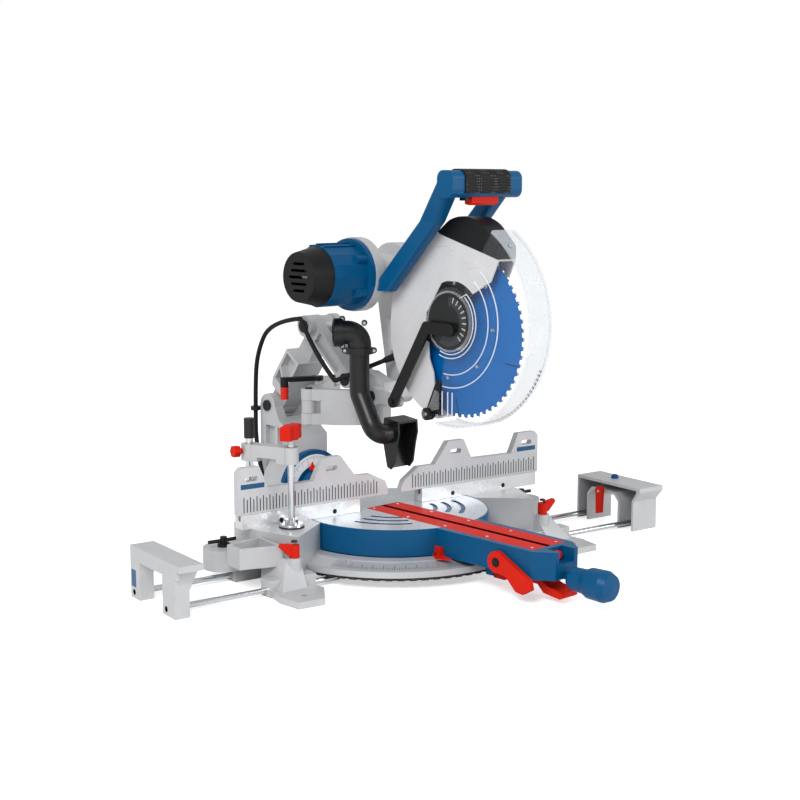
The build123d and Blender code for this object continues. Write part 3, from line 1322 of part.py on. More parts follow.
def coil_heading(turn):
    """Direction of the coiled lead there."""
    step = 0.002
    ahead, behind = coil_point(min(turn + step, COIL_SPAN)), coil_point(max(turn - step, 0))
    return (ahead - behind).normalized()


def add_biarc(start, start_way, end, end_way):
    """Two tangent arcs joining two headings."""
    chord = end - start
    ways = start_way + end_way
    spread = 2 * (1 - start_way.dot(end_way))
    reach = (-chord.dot(ways) + sqrt(chord.dot(ways) ** 2 + spread * chord.dot(chord))) / spread
    middle = (start + end + (start_way - end_way) * reach) * 0.5
    middle_way = chord - ways * reach
    TangentArc(start, middle, tangent=start_way)
    TangentArc(middle, end, tangent=middle_way)


COIL_STEPS = int(4 * COIL_SPAN)
coil_turns = [COIL_SPAN * step / COIL_STEPS for step in range(COIL_STEPS + 1)]
coil_first, coil_last = Vector(1, 0, 0), Vector(-1, 0, 0)
coil_ways = [coil_first] + [coil_heading(turn) for turn in coil_turns[1:-1]] + [coil_last]
with BuildPart() as coil_lead:
    with BuildLine() as coil_path:
        Line(free_points[-1], coil_point(0))
        for first in range(COIL_STEPS):
            add_biarc(coil_point(coil_turns[first]), coil_ways[first], coil_point(coil_turns[first + 1]),
                      coil_ways[first + 1])
        Line(coil_point(COIL_SPAN), coil_point(COIL_SPAN) + coil_last * 2 * LEAD_R)
    with BuildSketch(Plane(origin=coil_path.line @ 0, z_dir=coil_path.line % 0)):
        Circle(LEAD_R)
    sweep()
export(coil_lead, "coil_lead")

# Plug on the end of the coil.
PLUG_R = 13.0
plug_start = coil_point(COIL_SPAN) + coil_last * 2 * LEAD_R
with BuildPart() as plug:
    with BuildSketch(Plane(origin=plug_start, z_dir=coil_last)):
        Circle(5)
    extrude(amount=36)
    with BuildSketch(Plane(origin=plug_start + coil_last * 34, z_dir=coil_last)):
        Circle(PLUG_R)
    extrude(amount=24)
    with BuildSketch(Plane(origin=plug_start + coil_last * 57, x_dir=(0, 1, 0), z_dir=coil_last)):
        with Locations((-6.4, -3), (6.4, -3)):
            Rectangle(1.6, 6.4)
        with Locations((0, 5)):
            Circle(2.4)
    extrude(amount=18)
export(plug, "plug")

samples = [coil_point(COIL_SPAN * index / 1200) for index in range(1201)]
gaps = [(samples[i] - samples[j]).length for i in range(0, 1201, 4) for j in range(i + 70, 1201, 2)]
print("lead corner radii", [round(radius) for radius in lead_radii + free_radii])
print("coil least self gap", round(min(gaps) - 2 * LEAD_R, 2))
for piece, path in ((power_lead, lead_path), (free_lead, free_path), (coil_lead, coil_path)):
    length = sum(edge.length for edge in path.edges())
    print("lead length", round(length), "volume ratio",
          round(piece.part.volume / (pi * LEAD_R ** 2 * length), 4))
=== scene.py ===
from math import cos, pi, radians, sin

import bmesh
import bpy
from mathutils import Matrix, Vector


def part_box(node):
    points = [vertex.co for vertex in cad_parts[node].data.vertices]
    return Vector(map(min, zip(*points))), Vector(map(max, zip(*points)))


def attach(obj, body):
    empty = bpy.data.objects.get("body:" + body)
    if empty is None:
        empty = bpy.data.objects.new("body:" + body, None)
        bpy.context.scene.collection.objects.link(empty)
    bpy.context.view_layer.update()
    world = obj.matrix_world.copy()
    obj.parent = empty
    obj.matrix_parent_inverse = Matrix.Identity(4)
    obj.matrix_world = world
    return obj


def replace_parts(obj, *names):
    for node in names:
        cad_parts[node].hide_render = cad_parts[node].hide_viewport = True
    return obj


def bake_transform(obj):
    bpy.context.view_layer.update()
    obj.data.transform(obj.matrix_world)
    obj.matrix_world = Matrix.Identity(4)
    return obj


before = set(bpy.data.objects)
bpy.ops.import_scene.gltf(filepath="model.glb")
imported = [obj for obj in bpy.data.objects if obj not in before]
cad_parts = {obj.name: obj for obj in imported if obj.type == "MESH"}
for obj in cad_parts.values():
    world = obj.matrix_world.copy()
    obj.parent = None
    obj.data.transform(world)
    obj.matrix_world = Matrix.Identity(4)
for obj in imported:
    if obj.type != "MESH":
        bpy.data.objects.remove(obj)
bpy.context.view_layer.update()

# Base: one grey aluminium casting with a ring for the turntable, two side blocks and four feet.
# It is shot-blasted and lacquered, so it is even, pale and only a little shiny.
# Black screws with a cross bar, on the lobes behind the blocks, lock the sliding fences.


class Signal:
    """An output of a shader tree that can be added, multiplied and compared like a number."""

    FACTOR, FIRST, SECOND, MIXED = 0, 6, 7, 2  # a Mix node's sockets for colours

    def __init__(self, tree, socket):
        self.tree = tree
        self.socket = socket

    def node(self, kind, settings=None, inputs=None, output=0):
        made = self.tree.nodes.new(kind)
        for name, value in (settings or {}).items():
            setattr(made, name, value)
        for name, value in (inputs or {}).items():
            if isinstance(value, Signal):
                self.tree.links.new(value.socket, made.inputs[name])
            else:
                made.inputs[name].default_value = value
        return Signal(self.tree, made.outputs[output])

    def math(self, operation, first, second=0.0):
        return self.node("ShaderNodeMath", {"operation": operation}, {0: first, 1: second})

    def mix(self, first, second):
        """Colour that goes from the first to the second as this signal goes from 0 to 1."""
        layers = {self.FACTOR: self, self.FIRST: first, self.SECOND: second}
        return self.node("ShaderNodeMix", {"data_type": "RGBA"}, layers, self.MIXED)

    def within(self, low, high):
        """1 where this signal lies between two values, and 0 elsewhere."""
        return (self > low) * (self < high)

    def __add__(self, other):
        return self.math("ADD", self, other)

    def __radd__(self, other):
        return self.math("ADD", other, self)

    def __sub__(self, other):
        return self.math("SUBTRACT", self, other)

    def __rsub__(self, other):
        return self.math("SUBTRACT", other, self)

    def __mul__(self, other):
        return self.math("MULTIPLY", self, other)

    def __rmul__(self, other):
        return self.math("MULTIPLY", other, self)

    def __mod__(self, other):
        return self.math("FLOORED_MODULO", self, other)

    def __gt__(self, other):
        return self.math("GREATER_THAN", self, other)

    def __lt__(self, other):
        return self.math("LESS_THAN", self, other)


def colour(code):
    """Linear colour of an sRGB hex code."""
    parts = [int(code[i : i + 2], 16) / 255 for i in (0, 2, 4)]
    return [p / 12.92 if p <= 0.04045 else ((p + 0.055) / 1.055) ** 2.4 for p in parts] + [1.0]


class Finish:
    """A surface: its shader, and the place on the object as x, y and z in metres."""

    def __init__(self, name, code, roughness, metallic=0.0, grain=0.0, scale=700.0, shine=0.5):
        self.material = bpy.data.materials.new(name)
        self.material.use_nodes = True
        self.tree = self.material.node_tree
        self.shader = self.tree.nodes["Principled BSDF"]
        self.shader.inputs["Metallic"].default_value = metallic
        self.shader.inputs["Specular IOR Level"].default_value = shine
        place = Signal(self.tree, self.tree.nodes.new("ShaderNodeTexCoord").outputs["Object"])
        self.place = place
        axes = [place.node("ShaderNodeSeparateXYZ", None, {0: place}, axis) for axis in range(3)]
        self.x, self.y, self.z = axes
        cloud = place.node("ShaderNodeTexNoise", None, {"Vector": place, "Scale": 30.0, "Detail": 3.0})
        self.rough = roughness + (cloud - 0.5) * 0.16
        tones = {"From Min": 0.3, "From Max": 0.7, "To Min": 0.94, "To Max": 1.0}
        self.shade = cloud.node("ShaderNodeMapRange", None, {"Value": cloud, **tones})
        self.colour = self.toned(code)
        if grain:
            fine = {"Vector": place, "Scale": scale, "Detail": 2.0}
            pores = place.node("ShaderNodeTexNoise", None, fine)
            relief = {"Strength": grain, "Distance": 0.0003, "Height": pores}
            self.feed("Normal", place.node("ShaderNodeBump", None, relief))
        self.feed("Roughness", self.rough)
        self.feed("Base Color", self.colour)

    def toned(self, code):
        """The colour of a code, a little darker and lighter from patch to patch."""
        settings = {"data_type": "RGBA", "blend_type": "MULTIPLY"}
        layers = {Signal.FACTOR: 1.0, Signal.FIRST: colour(code), Signal.SECOND: self.shade}
        return self.shade.node("ShaderNodeMix", settings, layers, Signal.MIXED)

    def feed(self, name, signal):
        self.tree.links.new(signal.socket, self.shader.inputs[name])

    def patch(self, mask, code, roughness=None, metallic=None):
        """Gives the part of the surface where mask is 1 another colour, and its own shine."""
        self.colour = mask.mix(self.colour, self.toned(code))
        self.feed("Base Color", self.colour)
        if roughness is not None:
            self.rough = self.rough + mask * (roughness - self.rough)
            self.feed("Roughness", self.rough)
        if metallic is not None:
            before = self.shader.inputs["Metallic"].default_value
            self.feed("Metallic", before + mask * (metallic - before))
        return self


def wear(finish, *nodes):
    """Gives CAD nodes their finish."""
    for node in nodes:
        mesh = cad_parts[node].data
        mesh.materials.clear()
        mesh.materials.append(finish.material)


def rod(mesh, start, end, radius, tip=None, sides=24, finish=0):
    """A round bar or cone between two points given in millimetres, with its finish's number."""
    foot, top = Vector(start) / 1000, Vector(end) / 1000
    turn = (top - foot).to_track_quat("Z", "Y").to_matrix().to_4x4()
    made = bmesh.ops.create_cone(
        mesh,
        cap_ends=True,
        segments=sides,
        radius1=radius / 1000,
        radius2=(radius if tip is None else tip) / 1000,
        depth=(top - foot).length,
        matrix=Matrix.Translation((foot + top) / 2) @ turn,
    )
    for face in {face for vertex in made["verts"] for face in vertex.link_faces}:
        face.material_index = finish


def piece(name, mesh, body, *finishes):
    """Makes a piece of the scene from a mesh and lets it move with a body."""
    bmesh.ops.recalc_face_normals(mesh, faces=mesh.faces)
    data = bpy.data.meshes.new(name)
    mesh.to_mesh(data)
    mesh.free()
    data.shade_smooth()
    data.set_sharp_from_angle(angle=radians(35))
    for finish in finishes:
        data.materials.append(finish.material)
    made = bpy.data.objects.new(name, data)
    bpy.context.scene.collection.objects.link(made)
    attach(made, body)
    return made


CAST, BLACK = "BFC0C2", "0B0C0D"
cast = Finish("cast_aluminium", CAST, 0.38, metallic=0.25, grain=0.35, scale=1200.0)
black = Finish("black_nylon", BLACK, 0.42, grain=0.3, shine=0.3)
steel = Finish("bright_steel", "B9BCC0", 0.3, metallic=1.0)
wear(cast, "base_casting")
wear(Finish("detent_steel", "34373A", 0.5, metallic=0.5, grain=0.3), "detent_ring")
LOBE_SIDE = 345
LOBE_BACK = 37
LOBE_TOP = 60
COLLAR_TOP = 66
BAR_RISE = 71
LOCK_TOP = 78
fence_locks = bmesh.new()
for lobe in (-LOBE_SIDE, LOBE_SIDE):
    rod(fence_locks, (lobe, LOBE_BACK, LOBE_TOP), (lobe, LOBE_BACK, COLLAR_TOP), radius=11)
    rod(fence_locks, (lobe, LOBE_BACK, COLLAR_TOP), (lobe, LOBE_BACK, LOCK_TOP), radius=7, tip=6)
    bar_ends = (lobe - 30, LOBE_BACK, BAR_RISE), (lobe + 24, LOBE_BACK, BAR_RISE)
    rod(fence_locks, *bar_ends, radius=3.4, sides=12)
piece("fence_locks", fence_locks, "base", black)

# Mitre scale: a grey anodised plate screwed to the front of the ring and printed with degree marks.
# A longer mark stands every five degrees.
DEGREE = 180 / pi
MARK_OUTER = 0.231
SCREW_CIRCLE = 212
SCALE_TOP = 37.6


def radius_of(ahead, aside):
    """Distance from the middle, from two signals that are square to each other."""
    return ahead.math("SQRT", ahead * ahead + aside * aside)


def degrees_of(ahead, aside):
    """Angle in degrees from the first of two signals round to the second."""
    return ahead.math("ARCTAN2", aside, ahead) * DEGREE


def marks(angle, step, wide):
    """1 on a mark at every step, with step and width in degrees."""
    return (angle + wide / 2) % step < wide


scale_plate = Finish("scale_plate", "B9BBBD", 0.38, metallic=0.4)
scale_ahead = 0.0 - scale_plate.y
scale_radius = radius_of(scale_ahead, scale_plate.x)
scale_angle = degrees_of(scale_ahead, scale_plate.x)
one_degree = marks(scale_angle, 1.0, 0.18) * scale_radius.within(0.2235, MARK_OUTER)
five_degrees = marks(scale_angle, 5.0, 0.26) * scale_radius.within(0.216, MARK_OUTER)
scale_marks = one_degree.math("MAXIMUM", one_degree, five_degrees)
scale_plate.patch(scale_marks, "26282A", roughness=0.5, metallic=0.0)
wear(scale_plate, "mitre_scale")
scale_screws = bmesh.new()
for lean in (-58, -30, 30, 58):
    across, ahead = SCREW_CIRCLE * sin(radians(lean)), -SCREW_CIRCLE * cos(radians(lean))
    ends = (across, ahead, SCALE_TOP), (across, ahead, SCALE_TOP + 1.8)
    rod(scale_screws, *ends, radius=3.2, tip=2.6, sides=16)
piece("scale_screws", scale_screws, "base", steel)

# Slide-out supports: cast arches on two chromed rods each, with a red flip-over length stop.
# Red wing levers with black screws clamp the rods; a small blue knob tops the right support.
BLUE, RED, CHROME = "004D79", "CE1F0C", "D5D8DB"
blue = Finish("blue_enamel", BLUE, 0.36, grain=0.06, scale=900.0, shine=0.18)
red = Finish("red_nylon", RED, 0.5, grain=0.12, shine=0.12)
chrome = Finish("chromed_steel", CHROME, 0.14, metallic=1.0)
left_cast = Finish("left_support_cast", CAST, 0.38, metallic=0.25, grain=0.35, scale=1200.0)
badge = (left_cast.x < -0.5255) * left_cast.y.within(0.012, 0.03) * left_cast.z.within(0.02, 0.05)
left_cast.patch(badge, BLUE, roughness=0.35, metallic=0.0)
wear(left_cast, "left_support")
wear(cast, "right_support")
wear(chrome, "left_rails", "right_rails")
wear(red, "length_stop", "left_wing_lever", "right_wing_lever")


def slab(mesh, low, high):
    """A square block between two corners given in millimetres."""
    low, high = Vector(low) / 1000, Vector(high) / 1000
    spread = Matrix.Diagonal((*(high - low), 1))
    middle = Matrix.Translation((low + high) / 2)
    return bmesh.ops.create_cube(mesh, size=1, matrix=middle @ spread)["verts"]


LEFT_FACE = -526
LEFT_WALL = LEFT_FACE + 5
LEG_IN = -500
TOP_IN = -482
TOP_FRONT = -150
APRON_FRONT = -140
SUPPORT_BACK = 33
FLANGE = 5
GUSSET_FOOT = 46
APRON_FOOT = 66
TOP_UNDER = 80
TOP_FACE = 91
LEGS = ((-134, -88), (-2, SUPPORT_BACK))
SOCKETS = (-110, 16)
SOCKET_HALF = 15
SOCKET_FOOT, SOCKET_TOP = 0.8, 20.8
slim = bmesh.new()
slab(slim, (LEFT_FACE, TOP_FRONT, TOP_UNDER), (TOP_IN, SUPPORT_BACK, TOP_FACE))
slab(slim, (LEFT_FACE, APRON_FRONT, APRON_FOOT), (LEFT_WALL, SUPPORT_BACK, TOP_UNDER))
for front, back in LEGS:
    slab(slim, (LEFT_FACE, front, 0), (LEFT_WALL, back, APRON_FOOT))
    for edge in (front, back - FLANGE):
        slab(slim, (LEFT_WALL, edge, 0), (LEG_IN, edge + FLANGE, GUSSET_FOOT))
        gusset = slab(slim, (LEFT_WALL, edge, GUSSET_FOOT), (TOP_IN, edge + FLANGE, TOP_UNDER))
        for vertex in gusset:
            if vertex.co.z < (GUSSET_FOOT + TOP_UNDER) / 2000:
                vertex.co.x = min(vertex.co.x, LEG_IN / 1000)
for middle in SOCKETS:
    socket_low = LEFT_FACE + 2, middle - SOCKET_HALF, SOCKET_FOOT
    slab(slim, socket_low, (LEG_IN - 2, middle + SOCKET_HALF, SOCKET_TOP))
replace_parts(piece("left_support_slim", slim, "left_support", left_cast), "left_support")
WING_SIDE = 282
WING_FRONT = -101
WING_TOP = 87
for side, body in ((-WING_SIDE, "left_wing"), (WING_SIDE, "right_wing")):
    wing_screw = bmesh.new()
    ends = (side, WING_FRONT, WING_TOP), (side, WING_FRONT, WING_TOP + 3)
    rod(wing_screw, *ends, radius=6, tip=5)
    piece(body + "_screw", wing_screw, body, black)
KNOB_SIDE, KNOB_FRONT = 534, -40
KNOB_FOOT, KNOB_RIM, KNOB_TOP = 90, 97, 99
stop_knob = bmesh.new()
rod(stop_knob, (KNOB_SIDE, KNOB_FRONT, KNOB_FOOT), (KNOB_SIDE, KNOB_FRONT, KNOB_RIM), radius=8, tip=7)
rod(stop_knob, (KNOB_SIDE, KNOB_FRONT, KNOB_RIM), (KNOB_SIDE, KNOB_FRONT, KNOB_TOP), radius=7, tip=4)
piece("stop_knob", stop_knob, "right_support", blue)

# Fences: machined lower rails bolted to the base, and tall cast fences that slide along them.
# The tall fences have a row of fine upright grooves, drawn flat as painted shade, and a plain blue
# panel at the outer end.
bright = Finish("machined_aluminium", "E2E3E5", 0.26, metallic=0.5)
wear(bright, "lower_fence")
SCREW_BACK, SCREW_FRONT, SCREW_RISE = 9.4, 8.6, 99.5
fence_screws = bmesh.new()
for side in (-242, -128, 146, 273):
    ends = (side, SCREW_BACK, SCREW_RISE), (side, SCREW_FRONT, SCREW_RISE)
    rod(fence_screws, *ends, radius=4.4, sides=20)
piece("fence_screws", fence_screws, "base", black)
FENCE_FACE = 0.0095
GROOVE_STEP = 0.0066
GROOVE_WIDE = 0.0021
GROOVE_FOOT = 0.1215
GROOVE_TOP = 0.1445
GROOVE_MORE = 0.0045
PANEL_HALF = 0.024
PANEL_FOOT, PANEL_TOP = 0.1635, 0.1725


def fence_finish(name, first, last, panel):
    """Cast metal with grooves from first to last as painted shade, every second one longer, and a
    panel.
    """
    made = Finish(name, "CACBCE", 0.36, metallic=0.3, grain=0.2, scale=1200.0)
    run = made.x - first
    # Painted shade: the grooves have no depth, and darker stripes stand in for the shade inside them.
    groove_shade = (run % GROOVE_STEP < GROOVE_WIDE) * made.x.within(first, last) * (made.y < FENCE_FACE)
    top = (run % (2 * GROOVE_STEP) < GROOVE_STEP) * GROOVE_MORE + GROOVE_TOP
    made.patch(groove_shade * made.z.within(GROOVE_FOOT, top), "3C3E41", roughness=0.6, metallic=0.1)
    decal = made.x.within(panel - PANEL_HALF, panel + PANEL_HALF) * (made.y < FENCE_FACE)
    return made.patch(decal * made.z.within(PANEL_FOOT, PANEL_TOP), BLUE, roughness=0.4, metallic=0.0)


wear(fence_finish("left_fence_cast", -0.319, -0.029, -0.3), "left_sliding_fence")
wear(fence_finish("right_fence_cast", 0.048, 0.3545, 0.332), "right_sliding_fence")

# Quick clamp: a chromed post with a black cap, a cast arm, a chromed spindle and red knobs.
# The spindle's pad is a turned dish with a black rubber ring under it.
CAP_FOOT = 0.2455
THREAD_PITCH, THREAD_WIDE = 0.0016, 0.0006
PAD_RING_TOP = 0.0945
post_skin = Finish("clamp_post", CHROME, 0.14, metallic=1.0)
post_skin.patch(post_skin.z > CAP_FOOT, BLACK, roughness=0.4, metallic=0.0)
wear(post_skin, "clamp_post")
spindle_skin = Finish("clamp_spindle", CHROME, 0.16, metallic=1.0)
# Painted shade: the thread has no relief, and thin darker rings stand in for the shade in its grooves.
thread_shade = (spindle_skin.z % THREAD_PITCH < THREAD_WIDE) * spindle_skin.z.within(0.24, 0.25)
spindle_skin.patch(thread_shade, "6C7074", roughness=0.4)
spindle_skin.patch(spindle_skin.z < PAD_RING_TOP, "191A1C", roughness=0.6, metallic=0.0)
wear(spindle_skin, "clamp_spindle")
wear(cast, "clamp_arm")
wear(red, "clamp_lock_knob", "clamp_knob")

# Turntable: a cast disc with a long arm, enamelled blue, with its top machined bright.
# Recesses in the top stay blue, and red kerf plates are screwed down each side of the slot.
ARM_TURN = radians(7.2)
DECK_FLOOR = 0.0903
DECK_RADIUS = 0.1755
PLATE_SIDE = 30


def arm(across, along, height):
    """A place in millimetres across, along and above the arm, in the saw's own frame."""
    side = across * cos(ARM_TURN) - along * sin(ARM_TURN)
    back = across * sin(ARM_TURN) + along * cos(ARM_TURN)
    return Vector((side, back, height))


table_skin = Finish("turntable_enamel", BLUE, 0.36, grain=0.06, scale=900.0, shine=0.18)
table_radius = radius_of(table_skin.x, table_skin.y)
lathe = table_radius.node("ShaderNodeTexNoise", {"noise_dimensions": "1D"}, {"W": table_radius * 900.0})
deck = (table_skin.z > DECK_FLOOR) * (table_radius < DECK_RADIUS)
table_skin.patch(deck, "C6CCD2", roughness=0.3, metallic=0.6)
table_skin.feed("Roughness", table_skin.rough + deck * (lathe - 0.5) * 0.25)
wear(table_skin, "turntable")
wear(red, "kerf_inserts", "pointers")
plate_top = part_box("kerf_inserts")[1].z * 1000
plate_screws = bmesh.new()
for across in (-PLATE_SIDE, PLATE_SIDE):
    for along in (24, -70, -167, -272, -377):
        ends = arm(across, along, plate_top - 1), arm(across, along, plate_top + 0.5)
        rod(plate_screws, *ends, radius=3.4, tip=2.8, sides=16)
piece("plate_screws", plate_screws, "turntable", steel)
POINTER_PLACE = (-62, -176)
POINTER_TOP = 44
pointer_screws = bmesh.new()
ends = arm(*POINTER_PLACE, POINTER_TOP), arm(*POINTER_PLACE, POINTER_TOP + 3)
rod(pointer_screws, *ends, radius=4, tip=3.4, sides=16)
piece("pointer_screws", pointer_screws, "turntable", black)

# Arm controls: blue mitre lock knob, red detent lever under it, red bevel lock lever on the left side.
# A red button sits in the cradle at the arm's front end.
wear(blue, "mitre_lock_knob")
wear(red, "detent_lever", "bevel_lock_lever", "front_button")


def cross_rod(mesh, reach, along, height, **shape):
    """A round bar square across the arm, with its reach from start to end in millimetres."""
    start, end = (arm(across, along, height) for across in reach)
    rod(mesh, start, end, **shape)


LEVER_ALONG, LEVER_RISE = -326, 61
LEVER_FACE, WASHER_FACE, HEAD_FACE = -64.6, -66.4, -67.2
lever_screw = bmesh.new()
washer, bolt_head = (LEVER_FACE, WASHER_FACE), (WASHER_FACE, HEAD_FACE)
cross_rod(lever_screw, washer, LEVER_ALONG, LEVER_RISE, radius=8.5, tip=7.8)
cross_rod(lever_screw, bolt_head, LEVER_ALONG, LEVER_RISE, radius=5.6, tip=5.2, sides=6)
piece("lever_screw", lever_screw, "bevel_lever", black)

# Bevel tower: a cast post that tilts on the back of the turntable, with a blue fan and a white scale.
# Its pins have blackened ends.
BEVEL_AXIS = 0.091


def across_arm(finish):
    """Place on a finish across the arm, in metres from its middle line."""
    return finish.x * cos(ARM_TURN) + finish.y * sin(ARM_TURN)


wear(cast, "tower")
bevel_plate = Finish("bevel_scale", BLUE, 0.4, shine=0.18)
plate_across, plate_rise = across_arm(bevel_plate), bevel_plate.z - BEVEL_AXIS
plate_radius = radius_of(plate_rise, plate_across)
plate_angle = degrees_of(plate_rise, plate_across)
bevel_plate.patch(plate_radius.within(0.046, 0.069), "E8EAEC")
fine = marks(plate_angle, 2.5, 0.44) * plate_radius.within(0.0605, 0.066)
coarse = marks(plate_angle, 15.0, 0.6) * plate_radius.within(0.0545, 0.066)
wear(bevel_plate.patch(fine.math("MAXIMUM", fine, coarse), "2A2C30"), "bevel_scale_plate")
dark_pin = Finish("blackened_steel", "2A2C2F", 0.35, metallic=0.8)
wear(dark_pin, "tower_pins", "knuckle_pin", "elbow_pin", "carrier_pins")

# Folding glide arm: two cast links fold in an upright plane and two cast plates in a flat one.
# A black locking lever with a red tip holds the fold, and the carrier takes the head at the front.
LOCK_TIP = 0.024
link_cast = Finish("link_cast", "BCBDBF", 0.4, metallic=0.25, grain=0.35, scale=1200.0)
wear(link_cast, "rear_link", "front_link", "rear_plate", "front_plate", "carrier")
lock_skin = Finish("glide_lock", BLACK, 0.42, grain=0.3, shine=0.3)
lock_tip = lock_skin.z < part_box("glide_lock_lever")[0].z + LOCK_TIP
wear(lock_skin.patch(lock_tip, RED, roughness=0.4), "glide_lock_lever")

# Dust path: a black scoop behind the blade, a bent duct and a swivelling port, held by collars.
# The collars have ears that are drawn together with bright screws.
EAR_PLACES = ((-84, 50, 451), (-84, 50, 401), (-50, 27, 443), (-38, 14, 392), (-78, 50, 392))
EAR_HALF = 4
duct_black = Finish("duct_nylon", "131415", 0.34, grain=0.2, shine=0.4)
wear(duct_black, "dust_hood", "dust_duct", "dust_port")
collar_screws = bmesh.new()
ear_way = arm(-0.676, -0.736, 0)
for place in EAR_PLACES:
    ear = arm(*place)
    rod(collar_screws, ear - ear_way * EAR_HALF, ear + ear_way * EAR_HALF, radius=5.8, tip=5.4)
    screw_ends = ear + ear_way * (EAR_HALF - 1), ear + ear_way * (EAR_HALF + 1)
    rod(collar_screws, *screw_ends, radius=3.4, tip=3, sides=16, finish=1)
piece("collar_screws", collar_screws, "carrier", duct_black, steel)

# Head: a cast arm that carries the gearbox, the motor and the blade's arbor.
# The motor has a faceted blue housing and a black vented end cap.
wear(cast, "head_casting")
wear(blue, "motor_housing")
wear(black, "motor_end_cap", "cord_gland")
wear(steel, "armature", "arbor")

# Upper guard: a pale cast shell over the back of the blade, with a black top cover.
# Raised lines edge a panel and make an arrow for the blade's turn; the hub's deep recess has no depth,
# and its shade is painted black on the flat face around the hub.
PIVOT_ALONG, PIVOT_RISE = -0.174, 0.458
RECESS_RADIUS = 0.071
RECESS_FACE = -0.0205
RECESS_LEAN = 0.54
RECESS_EDGE = 0.061


def along_arm(finish):
    """Place on a finish along the arm, in metres from the turntable's axis."""
    return finish.y * cos(ARM_TURN) - finish.x * sin(ARM_TURN)


guard_cast = Finish("guard_cast", "CDCDCF", 0.4, metallic=0.12, grain=0.25, scale=1200.0)
# Painted shade: the deep recess round the hub is flat here, and its shade is painted near-black on the
# guard's face.
recess_along, recess_rise = along_arm(guard_cast) - PIVOT_ALONG, guard_cast.z - PIVOT_RISE
recess_shade = (radius_of(recess_along, recess_rise) < RECESS_RADIUS) * recess_rise.within(-0.02, 0.07)
recess_shade = recess_shade * (across_arm(guard_cast) < RECESS_FACE)
recess_shade = recess_shade * (recess_along + recess_rise * RECESS_LEAN < RECESS_EDGE)
guard_cast.patch(recess_shade, "121314", roughness=0.5, metallic=0.0)
wear(guard_cast, "upper_guard")
wear(black, "guard_cover")
GUARD_FACE = -22
PANEL_EDGE = [(-134, 586), (-167, 590), (-174, 582), (-28, 416)]
ARROW_LINES = [[(-192, 567), (-219, 560)], [(-222, 568), (-236, 555)], [(-236, 555), (-213, 551)]]
SCREW_REACH = (GUARD_FACE, GUARD_FACE - 1.6)
guard_marks = bmesh.new()
for along, height in ((-180, 525), (-309, 594)):
    cross_rod(guard_marks, SCREW_REACH, along, height, radius=3.2, tip=2.8, sides=16, finish=1)
for line in (PANEL_EDGE, *ARROW_LINES):
    for start, end in zip(line, line[1:]):
        rod(guard_marks, arm(GUARD_FACE, *start), arm(GUARD_FACE, *end), radius=0.9, sides=8)
piece("guard_marks", guard_marks, "head", guard_cast, steel)

# Handle: a blue moulded D with a rubber grip, a red trigger below it and a black lock-off slide.
# The grip is covered in small raised dots that are paler than the rubber around them.
STUDS_A_METRE = 210.0
wear(blue, "handle")
grip_skin = Finish("grip_rubber", "0D0E0F", 0.6, shine=0.25)
stud_rows = {"Vector": grip_skin.place, "Scale": STUDS_A_METRE, "Randomness": 0.15}
studs = grip_skin.place.node("ShaderNodeTexVoronoi", {"feature": "F1"}, stud_rows)
stud_relief = {"Strength": 0.6, "Distance": 0.002, "Height": studs}
grip_skin.feed("Normal", studs.node("ShaderNodeBump", {"invert": True}, stud_relief))
grip_skin.patch(studs < 0.2, "6A6D70")
wear(grip_skin, "grip_insert")
wear(red, "trigger")
wear(black, "lock_off")

# Blade: a blue lacquered steel disc with bare ground carbide teeth.
# Thin curved cuts in its rim let it stretch as it warms.
HUB_ALONG, HUB_RISE = -0.1741, 0.4365
TOOTH_FOOT = 0.1508
CUT_STEP = 72.0
CUT_WIDE = 0.9
CUT_CURVE = 120.0
blade_skin = Finish("blade_lacquer", "0060A8", 0.4, shine=0.15)
blade_along, blade_rise = along_arm(blade_skin) - HUB_ALONG, blade_skin.z - HUB_RISE
blade_radius = radius_of(blade_along, blade_rise)
blade_skin.patch(blade_radius > TOOTH_FOOT, "D9DADC", roughness=0.3, metallic=0.6)
blade_angle = degrees_of(blade_along, blade_rise) + blade_radius * CUT_CURVE
cuts = (blade_angle % CUT_STEP < CUT_WIDE) * blade_radius.within(0.118, 0.15)
blade_skin.patch(cuts, "10243A", roughness=0.6)
wear(blade_skin, "blade")

# Lower guard: a clear polycarbonate shell that swings clear as the head comes down, held by a link.
# It has a thick rim, raised edges, a riveted band, stiffening ribs and a black ratchet hub.
# A black roller on a small plate sits at its lower end.
CLEAR = "F4F6F8"
RIM_RADIUS = 0.1835
DASH_STEP, DASH_LONG = 2.6, 1.5
HUB_RADIUS = 0.05
TOOTH_STEP, TOOTH_WIDE = 15.0, 3.5


def guard_finish(name):
    """Clear plastic, with the radius and angle of its places about the guard's pivot."""
    made = Finish(name, CLEAR, 0.08)
    along, rise = along_arm(made) - PIVOT_ALONG, made.z - PIVOT_RISE
    return made, radius_of(along, rise), degrees_of(along, rise) % 360.0


shell_clear, shell_radius, shell_angle = guard_finish("guard_shell")
rim = shell_radius > RIM_RADIUS
dashes = rim * across_arm(shell_clear).within(0.0165, 0.0195) * shell_angle.within(203, 246)
dashes = dashes * (shell_angle % DASH_STEP < DASH_LONG)
shell_clear.patch(rim, "D3D9DE")
shell_clear.patch(dashes, "101112", roughness=0.4)
shell_clear.feed("Alpha", 0.018 + rim * 0.33 + dashes * 0.65)
wear(shell_clear, "lower_guard")
hub_skin, hub_radius, hub_angle = guard_finish("guard_hub")
hub_disc = hub_radius < HUB_RADIUS
ratchet = hub_radius.within(0.0275, 0.044)
hub_skin.patch(hub_disc, BLACK, roughness=0.4)
hub_skin.patch(ratchet * hub_angle.within(90, 300), "2C2E30", roughness=0.35)
teeth = ratchet * (hub_angle % TOOTH_STEP < TOOTH_WIDE) * hub_angle.within(100, 236)
